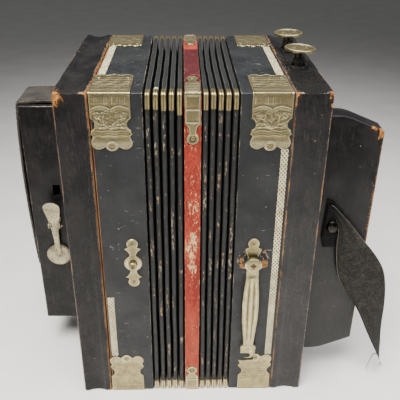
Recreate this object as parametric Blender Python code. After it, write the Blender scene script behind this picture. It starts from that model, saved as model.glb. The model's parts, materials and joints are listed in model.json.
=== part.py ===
"""A one-row button melodeon, standing upright and closed.

The frame: +X runs along the bellows from the bass end to the treble end, -Y is the player's side and
+Z is up. The origin is under the middle frame, on the surface that the instrument stands on.
Lengths are in millimetres up to add(), which writes metres.
"""

import math

import bmesh
import bpy
from mathutils import Matrix, Vector

MM = 0.001
GAP = 0.3

# The closed casing
HEIGHT = 280.3
DEPTH = 172.5
CASE_END = 97.5
BASS_CASE_IN = -73.8
BASS_FRAME = (-71.5, -35.4)
MIDDLE_FRAME = (-6.7, 5.5)
TREBLE_FRAME = (32.7, 70.7)
TREBLE_CASE_IN = 71.0
CASE_WALL = 9.0
FRAME_WALL = 8.0
LIP_INSET = 3.0
BASS_LIP = 1.8
INLAY = 0.6
PANEL = (91.0, 96.0)
FRONT_Y = -DEPTH / 2 + INLAY - GAP

# Bellows
FOLDS = 5
FOLD_DEPTH = 16.5
FOLD_CREST = 1.0
FOLD_CARD = 2.4

# Sheet-metal corners
PLATE = 0.55
PLATE_FRONT = 44.0
PLATE_TOP = 44.7
PLATE_WIDTH = 30.5
PLATE_X = {"bass": -73.4, "treble": 39.8}
CLIP_LENGTH = 38.5
CLIP_HALF = 5.8
LOBE_R = 4.8

# Clasp and catch
PIVOT_X = 47.8
CLASP_Z = 139.5
STUD_X = -PIVOT_X
STUD_R = 1.5
STUD_EASE = 0.6
SHEET = 1.0
BAR_Y = (-90.6, -88.2)
EYE_R = 2.9

# Bass box and its keys
BOX_X = (-140.5, -96.3)
BOX_Y = (-22.0, 27.0)
BOX_Z = (33.0, 248.0)
BOX_WALL = 4.5
STRAP_Y = (-18.0, 23.0)
STRAP_THICK = 2.0
STRAP_BOW = 2.6
STRAP_END_Z = 92.0
AIR_KEY_X = -121.0
BASS_KEY_X = (-129.0, -110.0)
KEY_PIVOT_Z = 140.8
KEY_PIVOT_OUT = 6.0
KEY_PALLET_Z = 107.0
KEY_PIN_R = 1.0
KEY_ARM_HALF = 3.2
AIR_PALLET_R = 10.5
BASS_PALLET_R = 8.0
AIR_HOLE_R = 6.5
BASS_HOLE_R = 4.5

# Keyboard, its levers and buttons
BOARD_X = (96.3, 146.0)
BOARD_Y = (-61.75, -43.0)
BOARD_MID_Z = 140.0
BOARD_HALF_Z = 114.2
BOARD_WALL = 4.0
LID_X = 107.0
LID_THICK = 3.0
KEYS = 10
KEY_PITCH = 19.0
KEY_MID_Z = 139.0
ROD_X = 103.3
ROD_Y = -50.0
ROD_R = 1.0
BUTTON_X = 129.0
BUTTON_R = 5.5
BUTTON_EASE = 0.9
BUTTON_PROUD = 4.0
LEVER_HALF = 2.5

# Thumb strap
THUMB_Y = (-70.5, -66.5)

# Stops
STOP_X = 83.4
STOP_Y = (-18.7, 34.0)
STOP_R = 12.4
STOP_STEM_R = 4.0
STOP_HOLE_R = 5.4

# Reed blocks: X, half the width, and Z
BASS_REEDS = ((-90.7, -60.0), 25.0, (90.0, 200.0))
TREBLE_REEDS = ((50.0, 90.7), 30.0, (50.0, 230.0))


def clear_scene():
    for obj in list(bpy.data.objects):
        bpy.data.objects.remove(obj, do_unlink=True)


def material(name, colour, roughness, metallic=0.0):
    mat = bpy.data.materials.new(name)
    mat.use_nodes = True
    shader = mat.node_tree.nodes["Principled BSDF"]
    shader.inputs["Base Color"].default_value = (*colour, 1.0)
    shader.inputs["Roughness"].default_value = roughness
    shader.inputs["Metallic"].default_value = metallic
    mat.diffuse_color = (*colour, 1.0)
    return mat


# ---------------------------------------------------------------- shapes, as bmeshes in millimetres


def box(low, high):
    bm = bmesh.new()
    bmesh.ops.create_cube(bm, size=1.0)
    size = [b - a for a, b in zip(low, high)]
    middle = [(a + b) / 2 for a, b in zip(low, high)]
    bm.transform(Matrix.Translation(middle) @ Matrix.Diagonal((*size, 1.0)))
    return bm


def prism(outline, axis, start, end):
    """An outline in the two other axes, in X, Y, Z order, extruded along one axis."""
    bm = bmesh.new()

    def point(pair, along):
        values = list(pair)
        values.insert("xyz".index(axis), along)
        return bm.verts.new(values)

    first = [point(pair, start) for pair in outline]
    last = [point(pair, end) for pair in outline]
    bm.faces.new(first)
    bm.faces.new(last[::-1])
    for i in range(len(outline)):
        j = (i + 1) % len(outline)
        bm.faces.new((first[i], last[i], last[j], first[j]))
    return bm


def turned(profile, axis, centre, sides=16):
    """A closed round solid: (radius, distance along the axis) pairs, from one end's middle to the other's."""
    bm = bmesh.new()
    a = "xyz".index(axis)
    rings = []
    for radius, along in profile:
        ring = []
        for k in range(sides if radius > 0 else 1):
            turn = 2 * math.pi * (k + 0.5) / sides
            p = list(centre)
            p[a] += along
            p[(a + 1) % 3] += radius * math.cos(turn)
            p[(a + 2) % 3] += radius * math.sin(turn)
            ring.append(bm.verts.new(p))
        rings.append(ring)
    for one, two in zip(rings, rings[1:]):
        for k in range(sides):
            n = (k + 1) % sides
            corners = [one[k % len(one)], one[n % len(one)], two[n % len(two)], two[k % len(two)]]
            bm.faces.new(list(dict.fromkeys(corners)))
    return bm


def frame_ring(profile):
    """A mitred frame round the casing: the section's (x, distance in from the casing's outside) pairs."""
    bm = bmesh.new()
    rings = []
    for x, inset in profile:
        y = DEPTH / 2 - inset
        low, high = inset, HEIGHT - inset
        corners = ((-y, low), (y, low), (y, high), (-y, high))
        rings.append([bm.verts.new((x, cy, cz)) for cy, cz in corners])
    for i, one in enumerate(rings):
        two = rings[(i + 1) % len(rings)]
        for k in range(4):
            n = (k + 1) % 4
            bm.faces.new((one[k], two[k], two[n], one[n]))
    return bm


def folded_plate(x, front, top, side_y, side_z):
    """Sheet metal wrapped round a long edge of the casing.

    front and top are the leaves' outlines as (distance along X, distance from the edge) pairs, which
    both start and end on the edge. side_y and side_z say which of the four edges it is.
    """
    bm = bmesh.new()
    made = {}

    def vertex(u, v, upright, depth):
        run = max(v, depth)
        y, z = (depth, run) if upright else (run, depth)
        key = (round(u, 4), round(y, 4), round(z, 4))
        if key not in made:
            height = HEIGHT - z if side_z > 0 else z
            made[key] = bm.verts.new((x + u, side_y * (DEPTH / 2 - y), height))
        return made[key]

    for outline, upright in ((front, True), (top, False)):
        outer = [vertex(u, v, upright, 0.0) for u, v in outline]
        inner = [vertex(u, v, upright, PLATE) for u, v in outline]
        bm.faces.new(outer)
        bm.faces.new(inner[::-1])
        for i in range(len(outline) - 1):
            bm.faces.new((outer[i], inner[i], inner[i + 1], outer[i + 1]))
    return bm


# ---------------------------------------------------------------- objects


def place(obj, origin, parent):
    obj.location = Vector(origin) * MM
    if parent:
        obj.parent = parent
        obj.location -= parent.location
    bpy.context.collection.objects.link(obj)
    return obj


def joint_empty(name, origin, parent=None):
    """The frame that a moving body turns or slides in."""
    empty = bpy.data.objects.new(name, None)
    empty.empty_display_size = 0.01
    place(empty, origin, parent)
    return empty


def add(name, bm, mat, origin=(0, 0, 0), parent=None, smooth=False):
    bmesh.ops.recalc_face_normals(bm, faces=bm.faces)
    bm.transform(Matrix.Scale(MM, 4) @ Matrix.Translation(-Vector(origin)))
    mesh = bpy.data.meshes.new(name)
    bm.to_mesh(mesh)
    bm.free()
    mesh.materials.append(mat)
    if smooth:
        mesh.shade_smooth()
        mesh.set_sharp_from_angle(angle=math.radians(40))
    return place(bpy.data.objects.new(name, mesh), origin, parent)


def combine(obj, bm, operation):
    """Joins or cuts a solid with a helper solid, given in the same place as the object."""
    bmesh.ops.recalc_face_normals(bm, faces=bm.faces)
    bm.transform(Matrix.Scale(MM, 4))
    mesh = bpy.data.meshes.new("helper")
    bm.to_mesh(mesh)
    bm.free()
    helper = bpy.data.objects.new("helper", mesh)
    helper.hide_render = True
    helper.display_type = "WIRE"
    bpy.context.collection.objects.link(helper)
    modifier = obj.modifiers.new(operation.lower(), "BOOLEAN")
    modifier.operation = operation
    modifier.solver = "EXACT"
    modifier.object = helper
    return obj


def cut(obj, bm):
    return combine(obj, bm, "DIFFERENCE")


def join(obj, bm):
    return combine(obj, bm, "UNION")


def bevel(obj, width, segments=1, angle=40):
    modifier = obj.modifiers.new("edges", "BEVEL")
    modifier.width = width * MM
    modifier.segments = segments
    modifier.limit_method = "ANGLE"
    modifier.angle_limit = math.radians(angle)
    return obj


def arc(u, v, radius, start, end, steps=4):
    """Points along an arc, with its angles in degrees."""
    points = []
    for k in range(steps + 1):
        a = math.radians(start + (end - start) * k / steps)
        points.append((u + radius * math.cos(a), v + radius * math.sin(a)))
    return points


# ---------------------------------------------------------------- casing


def moulded_case(name, outer, inner, mat, parent):
    """A box end's moulded frame: a cove between two beads, and a plain inside."""
    step = (inner - outer) / 24
    section = ((0, 1.4), (1.4, 0), (4.5, 0), (6.0, 0.9), (12.0, 1.7), (18.0, 0.9), (19.5, 0), (23.0, 0))
    profile = [(outer + step * t, inset) for t, inset in section]
    profile += [(inner, 1.0), (inner, CASE_WALL), (outer, CASE_WALL)]
    return add(name, frame_ring(profile), mat, parent=parent)


def bellows_frame(name, case_side, fold_side, lip, mat, parent):
    """The covered frame that the folds are glued to. A bare lip can reach out of it towards the case."""
    profile = [(fold_side, INLAY), (case_side, INLAY)]
    if lip:
        profile += [(case_side, LIP_INSET), (case_side - lip, LIP_INSET)]
    profile += [(case_side - lip, FRAME_WALL), (fold_side, FRAME_WALL)]
    return add(name, frame_ring(profile), mat, parent=parent)


def bellows(name, start, end, mat, parent):
    """Five folds of card round the air chamber, as one pleated tube with open ends."""
    pitch = (end - start) / FOLDS
    outside = []
    for k in range(FOLDS):
        outside += [(start + k * pitch, FOLD_DEPTH), (start + (k + 0.5) * pitch, FOLD_CREST)]
    outside.append((end, FOLD_DEPTH))
    inside = [(x, inset + FOLD_CARD) for x, inset in outside]
    return add(name, frame_ring(outside + inside[::-1]), mat, parent=parent)


def middle_frame(mat):
    """The red frame between the two halves of the bellows, let in at its edges for the metal clips."""
    width, height = DEPTH / 2, HEIGHT
    clip = CLIP_LENGTH + 3
    rim = []
    for side_y, side_z in ((-1, -1), (1, -1), (1, 1), (-1, 1)):
        along = [(clip, 0), (clip, INLAY), (INLAY, INLAY), (INLAY, clip), (0, clip)]
        corner = []
        for run, rise in along:
            z = rise if side_z < 0 else height - rise
            corner.append((side_y * (width - run), z))
        if side_y * side_z > 0:
            corner.reverse()
        rim += corner
    obj = add("middle_frame", prism(rim, "x", *MIDDLE_FRAME), mat)
    inside = width - FRAME_WALL
    low, high = MIDDLE_FRAME[0] - 1, MIDDLE_FRAME[1] + 1
    return cut(obj, box((low, -inside, FRAME_WALL), (high, inside, height - FRAME_WALL)))


def end_panel(name, side, mat, parent):
    inside = CASE_WALL + GAP
    x = sorted(side * v for v in PANEL)
    low = (x[0], -DEPTH / 2 + inside, inside)
    return add(name, box(low, (x[1], DEPTH / 2 - inside, HEIGHT - inside)), mat, parent=parent)


# ---------------------------------------------------------------- metal corners


def corner_leaf(width, length):
    """A pressed corner's leaf: a waist and a point in each side, and three lobes along its end."""
    lobe = 5.4
    side = [(0, 0)] + arc(-1.4, 0.54 * length, 4.9, -63, 63, 5)
    side += [(0.2, 0.68 * length), (2.0, 0.735 * length)]
    side += arc(lobe, 0.84 * length, lobe, 200, 70, 5)
    middle = arc(width / 2, length - 5.0, 5.0, 165, 15, 6)
    return side + middle + [(width - u, v) for u, v in reversed(side)]


def plain_leaf(width, length):
    return [(0, 0), (0, length), (width, length), (width, 0)]


def clip_leaf(length):
    """A middle clip's leaf: a square head, a neck and a round end."""
    head = 0.58 * length
    left = [(-CLIP_HALF, 0), (-CLIP_HALF, head), (-4.0, head + 2.0), (-2.3, head + 5.0)]
    return left + arc(0, length - LOBE_R, LOBE_R, 235, -55, 8) + [(-u, v) for u, v in reversed(left)]


def metal_corners(side, mat, parent):
    for side_z, edge, length in ((1, "top", PLATE_FRONT), (-1, "bottom", PLATE_FRONT - 1.5)):
        for side_y, face in ((-1, "front"), (1, "back")):
            leaves = corner_leaf(PLATE_WIDTH, length), plain_leaf(PLATE_WIDTH, PLATE_TOP)
            name = f"{side}_corner_{edge}_{face}"
            add(name, folded_plate(PLATE_X[side], *leaves, side_y, side_z), mat, parent=parent)


def middle_clips(mat):
    x = sum(MIDDLE_FRAME) / 2
    leaf = clip_leaf(CLIP_LENGTH)
    for side_z, edge in ((1, "top"), (-1, "bottom")):
        for side_y, face in ((-1, "front"), (1, "back")):
            add(f"middle_clip_{edge}_{face}", folded_plate(x, leaf, leaf, side_y, side_z), mat)


# ---------------------------------------------------------------- clasp and catch


def fishtail(x, z, half, ring):
    """A long fitting's outline: a ring in the middle, then a fishtail and a round lobe at both ends."""
    side = arc(0, 0, ring, 0, 50, 4) + [(3.0, ring - 0.6), (6.7, half - 9.5), (4.6, half - 8.3)]
    upper = side + arc(0, half - LOBE_R, LOBE_R, -20, 200, 8) + [(-u, v) for u, v in reversed(side)]
    lower = [(-u, -v) for u, v in upper[1:-1]]
    return [(x + u, z + v) for u, v in upper + lower]


def catch_plate(mat, parent):
    """The plate and headed stud that the clasp hooks over."""
    outline = fishtail(STUD_X, CLASP_Z, 23.0, 7.5)
    obj = add("catch_plate", prism(outline, "y", FRONT_Y - SHEET, FRONT_Y), mat, parent=parent)
    stud = ((0, 0.4), (STUD_R, 0.4), (STUD_R, 5.1), (3.2, 5.1), (3.2, 6.0), (1.8, 6.8), (0, 6.8))
    profile = [(r, -t) for r, t in stud]
    return join(obj, turned(profile, "y", (STUD_X, FRONT_Y, CLASP_Z), 12))


def clasp_base(mat, parent):
    """The clasp's plate with its riveted pivot and the pivot's eight-sided head."""
    x, z = PIVOT_X, CLASP_Z
    side = [(4.0, -9.0), (4.0, 7.0), (6.6, 13.0), (4.4, 14.5)]
    outline = [(x + u, z + v) for u, v in side] + arc(x, z + 17.8, 4.7, -20, 200, 8)
    outline += [(x - u, z + v) for u, v in reversed(side)]
    obj = add("clasp_base", prism(outline, "y", FRONT_Y - SHEET, FRONT_Y), mat, parent=parent)
    pivot = ((0, 0.4), (2.4, 0.4), (2.4, 5.1), (7.2, 5.1), (7.2, 6.0), (5.6, 6.9), (0, 6.9))
    return join(obj, turned([(r, -t) for r, t in pivot], "y", (x, FRONT_Y, z), 8))


def clasp_bar(mat, parent):
    """The swinging bar: an eye, a flat bar that narrows, and a hook with its notch on one side."""
    x, z = PIVOT_X, CLASP_Z
    reach = PIVOT_X - STUD_X
    sides = [(5.0, -9), (6.3, -24), (7.1, -42), (6.5, -60), (4.5, -82)]
    sides += [(6.4, -86), (6.7, -91), (5.4, -96), (2.6, -reach - 3.4)]
    outline = arc(x, z, 6.4, -30, 210, 8) + [(x - u, z + v) for u, v in sides]
    outline += [(x + u, z + v) for u, v in reversed(sides)]
    obj = add("clasp_bar", prism(outline, "y", *BAR_Y), mat, (x, sum(BAR_Y) / 2, z), parent)
    cut(obj, prism(arc(x, z, EYE_R, 0, 330, 11), "y", BAR_Y[0] - 1, BAR_Y[1] + 1))
    wide = STUD_R + STUD_EASE
    notch = arc(x, z - reach, wide, -90, 90, 6) + [(x - 12, z - reach + wide), (x - 12, z - reach - wide)]
    return cut(obj, prism(notch, "y", BAR_Y[0] - 1, BAR_Y[1] + 1))


# ---------------------------------------------------------------- bass box


def bass_box(mat, parent):
    """The bass end's wooden box, open towards the end panel, with its air hole, slot and chord holes."""
    low, high = (BOX_X[0], BOX_Y[0], BOX_Z[0]), (BOX_X[1], BOX_Y[1], BOX_Z[1])
    obj = bevel(add("bass_box", box(low, high), mat, parent=parent), 1.2)
    inside = [v + BOX_WALL for v in low], [BOX_X[1] + 5] + [v - BOX_WALL for v in high[1:]]
    cut(obj, box(*inside))
    cut(obj, box((AIR_KEY_X + 1, BOX_Y[0] - 5, 166.0), (AIR_KEY_X + 8, BOX_Y[0] + BOX_WALL + 1, 178.0)))
    holes = [(AIR_KEY_X, BOX_Y[0], AIR_HOLE_R)] + [(x, BOX_Y[1], BASS_HOLE_R) for x in BASS_KEY_X]
    for x, y, radius in holes:
        shaft = ((0, -8), (radius, -8), (radius, 8), (0, 8))
        cut(obj, turned(shaft, "y", (x, y, KEY_PALLET_Z), 12))
    return obj


def key_bracket(name, xs, face, out, mat, parent):
    """Ears on a foot, with a pin through them, that one or two spoon keys hinge on.

    face is the Y of the box's side, and out says which way that side faces.
    """
    z = KEY_PIVOT_Z
    near, far = face + out * GAP, face + out * (GAP + 1.0)
    half = 5.2
    foot = box((xs[0] - half, min(near, far), z - 5), (xs[-1] + half, max(near, far), z + 5))
    obj = add(name, foot, mat, parent=parent)
    tip = face + out * (KEY_PIVOT_OUT + 2.2)
    for x in sorted({x + s * half for x in xs for s in (-1, 1)}):
        inward = 0.6 if x == xs[0] - half else -0.6 if x == xs[-1] + half else 0.0
        ear = (x + inward - 0.6, min(near, tip), z - 2.4), (x + inward + 0.6, max(near, tip), z + 2.4)
        join(obj, box(*ear))
    length = xs[-1] - xs[0] + 2 * half
    shaft = ((0, 0), (KEY_PIN_R, 0), (KEY_PIN_R, length), (0, length))
    return join(obj, turned(shaft, "x", (xs[0] - half, face + out * KEY_PIVOT_OUT, z), 8))


def spoon_key(name, x, face, out, pallet, mat, parent):
    """A spoon lever: a finger pad above its pin and a round pallet on the box's side below it."""
    z = KEY_PIVOT_Z
    base = face + out * (GAP + 1.6)
    arm_low, arm_high = KEY_PALLET_Z - z, 8.0
    y = KEY_PIVOT_OUT
    side = [(y - 2.2, -2), (y - 2.0, arm_high), (y + 2.6, 22.0), (y + 4.2, 21.4)]
    side += [(y + 2.2, arm_high), (y + 2.2, -3), (4.6, arm_low + 6), (4.6, arm_low - 4)]
    side += [(1.0, arm_low - 4), (1.0, arm_low + 4), (2.6, arm_low + 8)]
    outline = [(face + out * u, z + v) for u, v in side]
    origin = (x, face + out * KEY_PIVOT_OUT, z)
    obj = add(name, prism(outline, "x", x - KEY_ARM_HALF, x + KEY_ARM_HALF), mat, origin, parent)
    disc = ((0, GAP), (pallet, GAP), (pallet, GAP + 1.6), (pallet - 1.5, GAP + 2.4), (0, GAP + 2.4))
    join(obj, turned([(r, out * t) for r, t in disc], "y", (x, face, KEY_PALLET_Z), 16))
    half = [(KEY_ARM_HALF, arm_high), (5.2, 20.0), (4.0, 22.4)]
    outline = [(x - u, z + v) for u, v in half] + [(x + u, z + v) for u, v in reversed(half)]
    pad = prism(outline, "y", 0.0, 1.4)
    for vert in pad.verts:
        vert.co.y = face + out * (y - 1.2 + vert.co.y + 0.33 * (vert.co.z - z - arm_high))
    join(obj, pad)
    bore = KEY_PIN_R + 0.5
    hole = ((0, -5), (bore, -5), (bore, 5), (0, 5))
    return cut(obj, turned(hole, "x", origin, 10))


def hand_strap(mat, parent):
    """A leather strap over the box's top and down its end, where it stands off in a shallow bow."""
    x0, top = BOX_X[0] - GAP, BOX_Z[1] + GAP
    steps = 10
    inner = [(BOX_X[1] - 2.0, top), (x0 + 1.5, top), (x0, top - 1.5)]
    for k in range(1, steps):
        t = k / steps
        inner.append((x0 - STRAP_BOW * math.sin(math.pi * t ** 0.8), top - (top - STRAP_END_Z) * t))
    inner.append((x0, STRAP_END_Z))
    outer = [(inner[0][0], top + STRAP_THICK), (x0 - 0.2, top + STRAP_THICK), (x0 - STRAP_THICK, top - 0.4)]
    outer += [(x - STRAP_THICK, z) for x, z in inner[3:]]
    return add("hand_strap", prism(inner + outer[::-1], "y", *STRAP_Y), mat, parent=parent)


def bass_panel(mat, parent):
    """The bass end's panel, with a window that lets the air through to the bass box."""
    obj = end_panel("bass_end_panel", -1, mat, parent)
    low, high = BOX_Y[0] + BOX_WALL + 4, BOX_Y[1] - BOX_WALL - 4
    return cut(obj, box((-PANEL[1] - 1, low, 60.0), (-PANEL[0] + 1, high, 84.0)))


# ---------------------------------------------------------------- keyboard


def board_drop(x):
    """How far the keyboard's ends have curved in at a distance from the casing."""
    bend, start = 12.0, 110.0
    t = max(0.0, x - start)
    slope = 0.035 * bend
    return slope / (2 * bend) * t * t if t < bend else slope * (t - bend / 2)


def board_outline(inset, x_in):
    """The keyboard's outline in X and Z, shrunk by a wall on its three free sides."""
    x_out = BOARD_X[1] - inset
    steps = 8
    xs = [x_in] + [108 + (x_out - 108) * k / steps for k in range(steps + 1)]
    top = [(x, BOARD_MID_Z + BOARD_HALF_Z - inset - board_drop(x)) for x in xs]
    return top + [(x, 2 * BOARD_MID_Z - z) for x, z in reversed(top)]


def keyboard_shell(mat, parent):
    """The keyboard's back and rim, open to the lid and to the end panel."""
    front = BOARD_Y[1] - LID_THICK - GAP
    body = prism(board_outline(0, BOARD_X[0]), "y", BOARD_Y[0], front)
    obj = bevel(add("keyboard_shell", body, mat, parent=parent), 0.8)
    cut(obj, prism(board_outline(BOARD_WALL, BOARD_X[0] - 5), "y", BOARD_Y[0] + BOARD_WALL, front + 5))
    reach = BOARD_HALF_Z - BOARD_WALL + 2.0
    hole = ((0, -reach), (ROD_R + GAP, -reach), (ROD_R + GAP, reach), (0, reach))
    return cut(obj, turned(hole, "z", (ROD_X, ROD_Y, BOARD_MID_Z), 8))


def key_z(k):
    return KEY_MID_Z + (k - (KEYS - 1) / 2) * KEY_PITCH


def keyboard_lid(mat, parent):
    """The board that the buttons stand through."""
    body = prism(board_outline(0, LID_X), "y", BOARD_Y[1] - LID_THICK, BOARD_Y[1])
    obj = add("keyboard_lid", body, mat, parent=parent)
    for k in range(KEYS):
        radius = BUTTON_R + BUTTON_EASE
        hole = ((0, -9), (radius, -9), (radius, 9), (0, 9))
        cut(obj, turned(hole, "y", (BUTTON_X, BOARD_Y[1], key_z(k)), 14))
    return obj


def key_rod(mat, parent):
    reach = BOARD_HALF_Z - BOARD_WALL + 1.5
    shaft = ((0, -reach), (ROD_R, -reach), (ROD_R, reach), (0, reach))
    rod = turned(shaft, "z", (ROD_X, ROD_Y, BOARD_MID_Z), 8)
    return add("key_rod", rod, mat, parent=parent, smooth=True)


def key_lever(k, mat, parent):
    """An L-shaped wooden lever: a long arm under its button, and a short arm with its pallet."""
    z = key_z(k)
    x_in = BOARD_X[0] + 4.0
    under, over = ROD_Y - LEVER_HALF, ROD_Y + LEVER_HALF
    outline = [(x_in, under), (139.0, under), (139.0, over), (x_in + 4.4, over)]
    outline += [(x_in + 4.4, -6.0), (x_in, -6.0)]
    name = f"treble_lever_{k + 1:02d}"
    obj = add(name, prism(outline, "z", z - LEVER_HALF, z + LEVER_HALF), mat, (ROD_X, ROD_Y, z), parent)
    join(obj, box((BOARD_X[0], -30.0, z - 7.0), (x_in + 0.4, 2.0, z + 7.0)))
    hole = ((0, -5), (ROD_R + GAP, -5), (ROD_R + GAP, 5), (0, 5))
    return cut(obj, turned(hole, "z", (ROD_X, ROD_Y, z), 8))


def key_button(k, mat, parent):
    """A turned button on its lever, domed where the finger rests."""
    foot = ROD_Y + LEVER_HALF + GAP
    top = BOARD_Y[1] + BUTTON_PROUD - foot
    profile = ((0, 0), (3.4, 0), (3.4, 2.6), (BUTTON_R, 3.4), (BUTTON_R, top - 1.2), (4.2, top - 0.2), (0, top))
    button = turned(profile, "y", (BUTTON_X, foot, key_z(k)), 14)
    return add(f"treble_button_{k + 1:02d}", button, mat, (BUTTON_X, foot, key_z(k)), parent, True)


def treble_panel(mat, parent):
    """The treble end's panel, with an oblong hole under each pallet."""
    obj = end_panel("treble_end_panel", 1, mat, parent)
    for k in range(KEYS):
        z = key_z(k)
        cut(obj, box((PANEL[0] - 1, -25.0, z - 3.5), (PANEL[1] + 1, -3.0, z + 3.5)))
    return obj


def thumb_strap_anchor(mat, parent):
    """The stitched leather patch on the keyboard's back, and the stud that holds the thumb strap."""
    back = BOARD_Y[0] - GAP
    outline = [(107.5, 138.0), (121.5, 138.0), (121.5, 166.0), (115.5, 180.0), (109.0, 184.0), (105.5, 150.0)]
    obj = add("thumb_strap_anchor", prism(outline, "y", back - 2.6, back), mat, parent=parent)
    stud = ((0, 2.0), (5.8, 2.0), (5.8, 3.4), (4.2, 4.6), (0, 5.2))
    return join(obj, turned([(r, -t) for r, t in stud], "y", (115.3, back, 159.8), 16))


def thumb_strap(mat, parent):
    """A slack strap that hangs from under the anchor, past the keyboard's edge, to its twisted end."""
    outer = [(110.0, 181.0), (116.0, 177.0), (128.5, 163.0), (140.5, 148.0), (153.0, 133.5), (163.0, 117.5)]
    outer += [(167.0, 108.0), (171.0, 82.0), (171.5, 51.0), (174.5, 22.0), (177.0, 12.0)]
    inner = [(173.0, 17.5), (168.5, 28.0), (156.0, 51.0), (142.5, 76.0), (129.0, 97.0), (122.5, 116.0)]
    inner += [(119.5, 142.0), (120.5, 161.0), (114.0, 173.0)]
    return add("thumb_strap", prism(outer + inner, "y", *THUMB_Y), mat, parent=parent)


# ---------------------------------------------------------------- stops and reed blocks


def stop_knob(k, y, mat, parent):
    """A stop: an embossed metal disc on a turned stem that slides down through the case's top."""
    profile = [(0, -19), (STOP_STEM_R, -19), (STOP_STEM_R, -6), (4.4, 0), (4.8, 5), (4.4, 11), (7.0, 11.8)]
    profile += [(STOP_R - 0.8, 12.2), (STOP_R, 13.0), (STOP_R, 13.8), (STOP_R - 0.8, 14.5), (0, 14.5)]
    knob = turned(profile, "z", (STOP_X, y, HEIGHT), 20)
    return add(f"stop_knob_{k + 1}", knob, mat, (STOP_X, y, HEIGHT), parent, True)


def reed_block(name, x, half_y, z, mat, parent):
    block = box((x[0], -half_y, z[0]), (x[1], half_y, z[1]))
    return bevel(add(name, block, mat, parent=parent), 1.5)


# ---------------------------------------------------------------- the instrument


def build():
    clear_scene()
    ebony = material("ebonised_wood", (0.018, 0.015, 0.014), 0.35)
    bare = material("bare_wood", (0.48, 0.24, 0.09), 0.6)
    cloth = material("leatherette", (0.022, 0.024, 0.028), 0.45)
    folds = material("bellows_cloth", (0.03, 0.03, 0.033), 0.55)
    red = material("red_paper", (0.5, 0.09, 0.05), 0.7)
    metal = material("nickel_silver", (0.44, 0.41, 0.29), 0.38, 1.0)
    leather = material("worn_leather", (0.11, 0.085, 0.065), 0.7)
    webbing = material("strap_cloth", (0.05, 0.048, 0.046), 0.85)
    bone = material("bone", (0.75, 0.7, 0.58), 0.35)
    steel = material("steel_wire", (0.5, 0.5, 0.5), 0.35, 1.0)

    bass = joint_empty("bass_side", (BASS_CASE_IN, 0, HEIGHT / 2))
    treble = joint_empty("treble_side", (TREBLE_CASE_IN, 0, HEIGHT / 2))

    middle_frame(red)
    middle_clips(metal)

    moulded_case("bass_case", -CASE_END, BASS_CASE_IN, ebony, bass)
    bass_panel(ebony, bass)
    bellows_frame("bass_bellows_frame", *BASS_FRAME, BASS_LIP, cloth, bass)
    bellows("bass_bellows", BASS_FRAME[1] + GAP, MIDDLE_FRAME[0] - GAP, folds, bass)
    metal_corners("bass", metal, bass)
    catch_plate(metal, bass)
    bass_box(ebony, bass)
    hand_strap(leather, bass)
    reed_block("bass_reed_block", *BASS_REEDS, bare, bass)
    key_bracket("air_key_bracket", (AIR_KEY_X,), BOX_Y[0], -1, metal, bass)
    key_bracket("bass_key_bracket", BASS_KEY_X, BOX_Y[1], 1, metal, bass)
    spoon_key("air_key", AIR_KEY_X, BOX_Y[0], -1, AIR_PALLET_R, metal, bass)
    for k, x in enumerate(BASS_KEY_X):
        spoon_key(f"bass_key_{k + 1}", x, BOX_Y[1], 1, BASS_PALLET_R, metal, bass)

    bellows_frame("treble_bellows_frame", TREBLE_FRAME[1], TREBLE_FRAME[0], 0.0, cloth, treble)
    bellows("treble_bellows", MIDDLE_FRAME[1] + GAP, TREBLE_FRAME[0] - GAP, folds, treble)
    case = moulded_case("treble_case", CASE_END, TREBLE_CASE_IN, ebony, treble)
    for y in STOP_Y:
        hole = ((0, -30), (STOP_HOLE_R, -30), (STOP_HOLE_R, 5), (0, 5))
        cut(case, turned(hole, "z", (STOP_X, y, HEIGHT), 16))
    treble_panel(ebony, treble)
    metal_corners("treble", metal, treble)
    clasp_base(metal, treble)
    clasp_bar(metal, treble)
    keyboard_shell(ebony, treble)
    keyboard_lid(ebony, treble)
    key_rod(steel, treble)
    for k in range(KEYS):
        key_lever(k, bare, treble)
        key_button(k, bone, treble)
    reed_block("treble_reed_block", *TREBLE_REEDS, bare, treble)
    thumb_strap_anchor(leather, treble)
    thumb_strap(webbing, treble)
    for k, y in enumerate(STOP_Y):
        stop_knob(k, y, metal, treble)


build()
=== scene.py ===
import functools
import json
import math
import random

import bmesh
import bpy
import numpy as np
from mathutils import Matrix, Vector, noise

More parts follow.
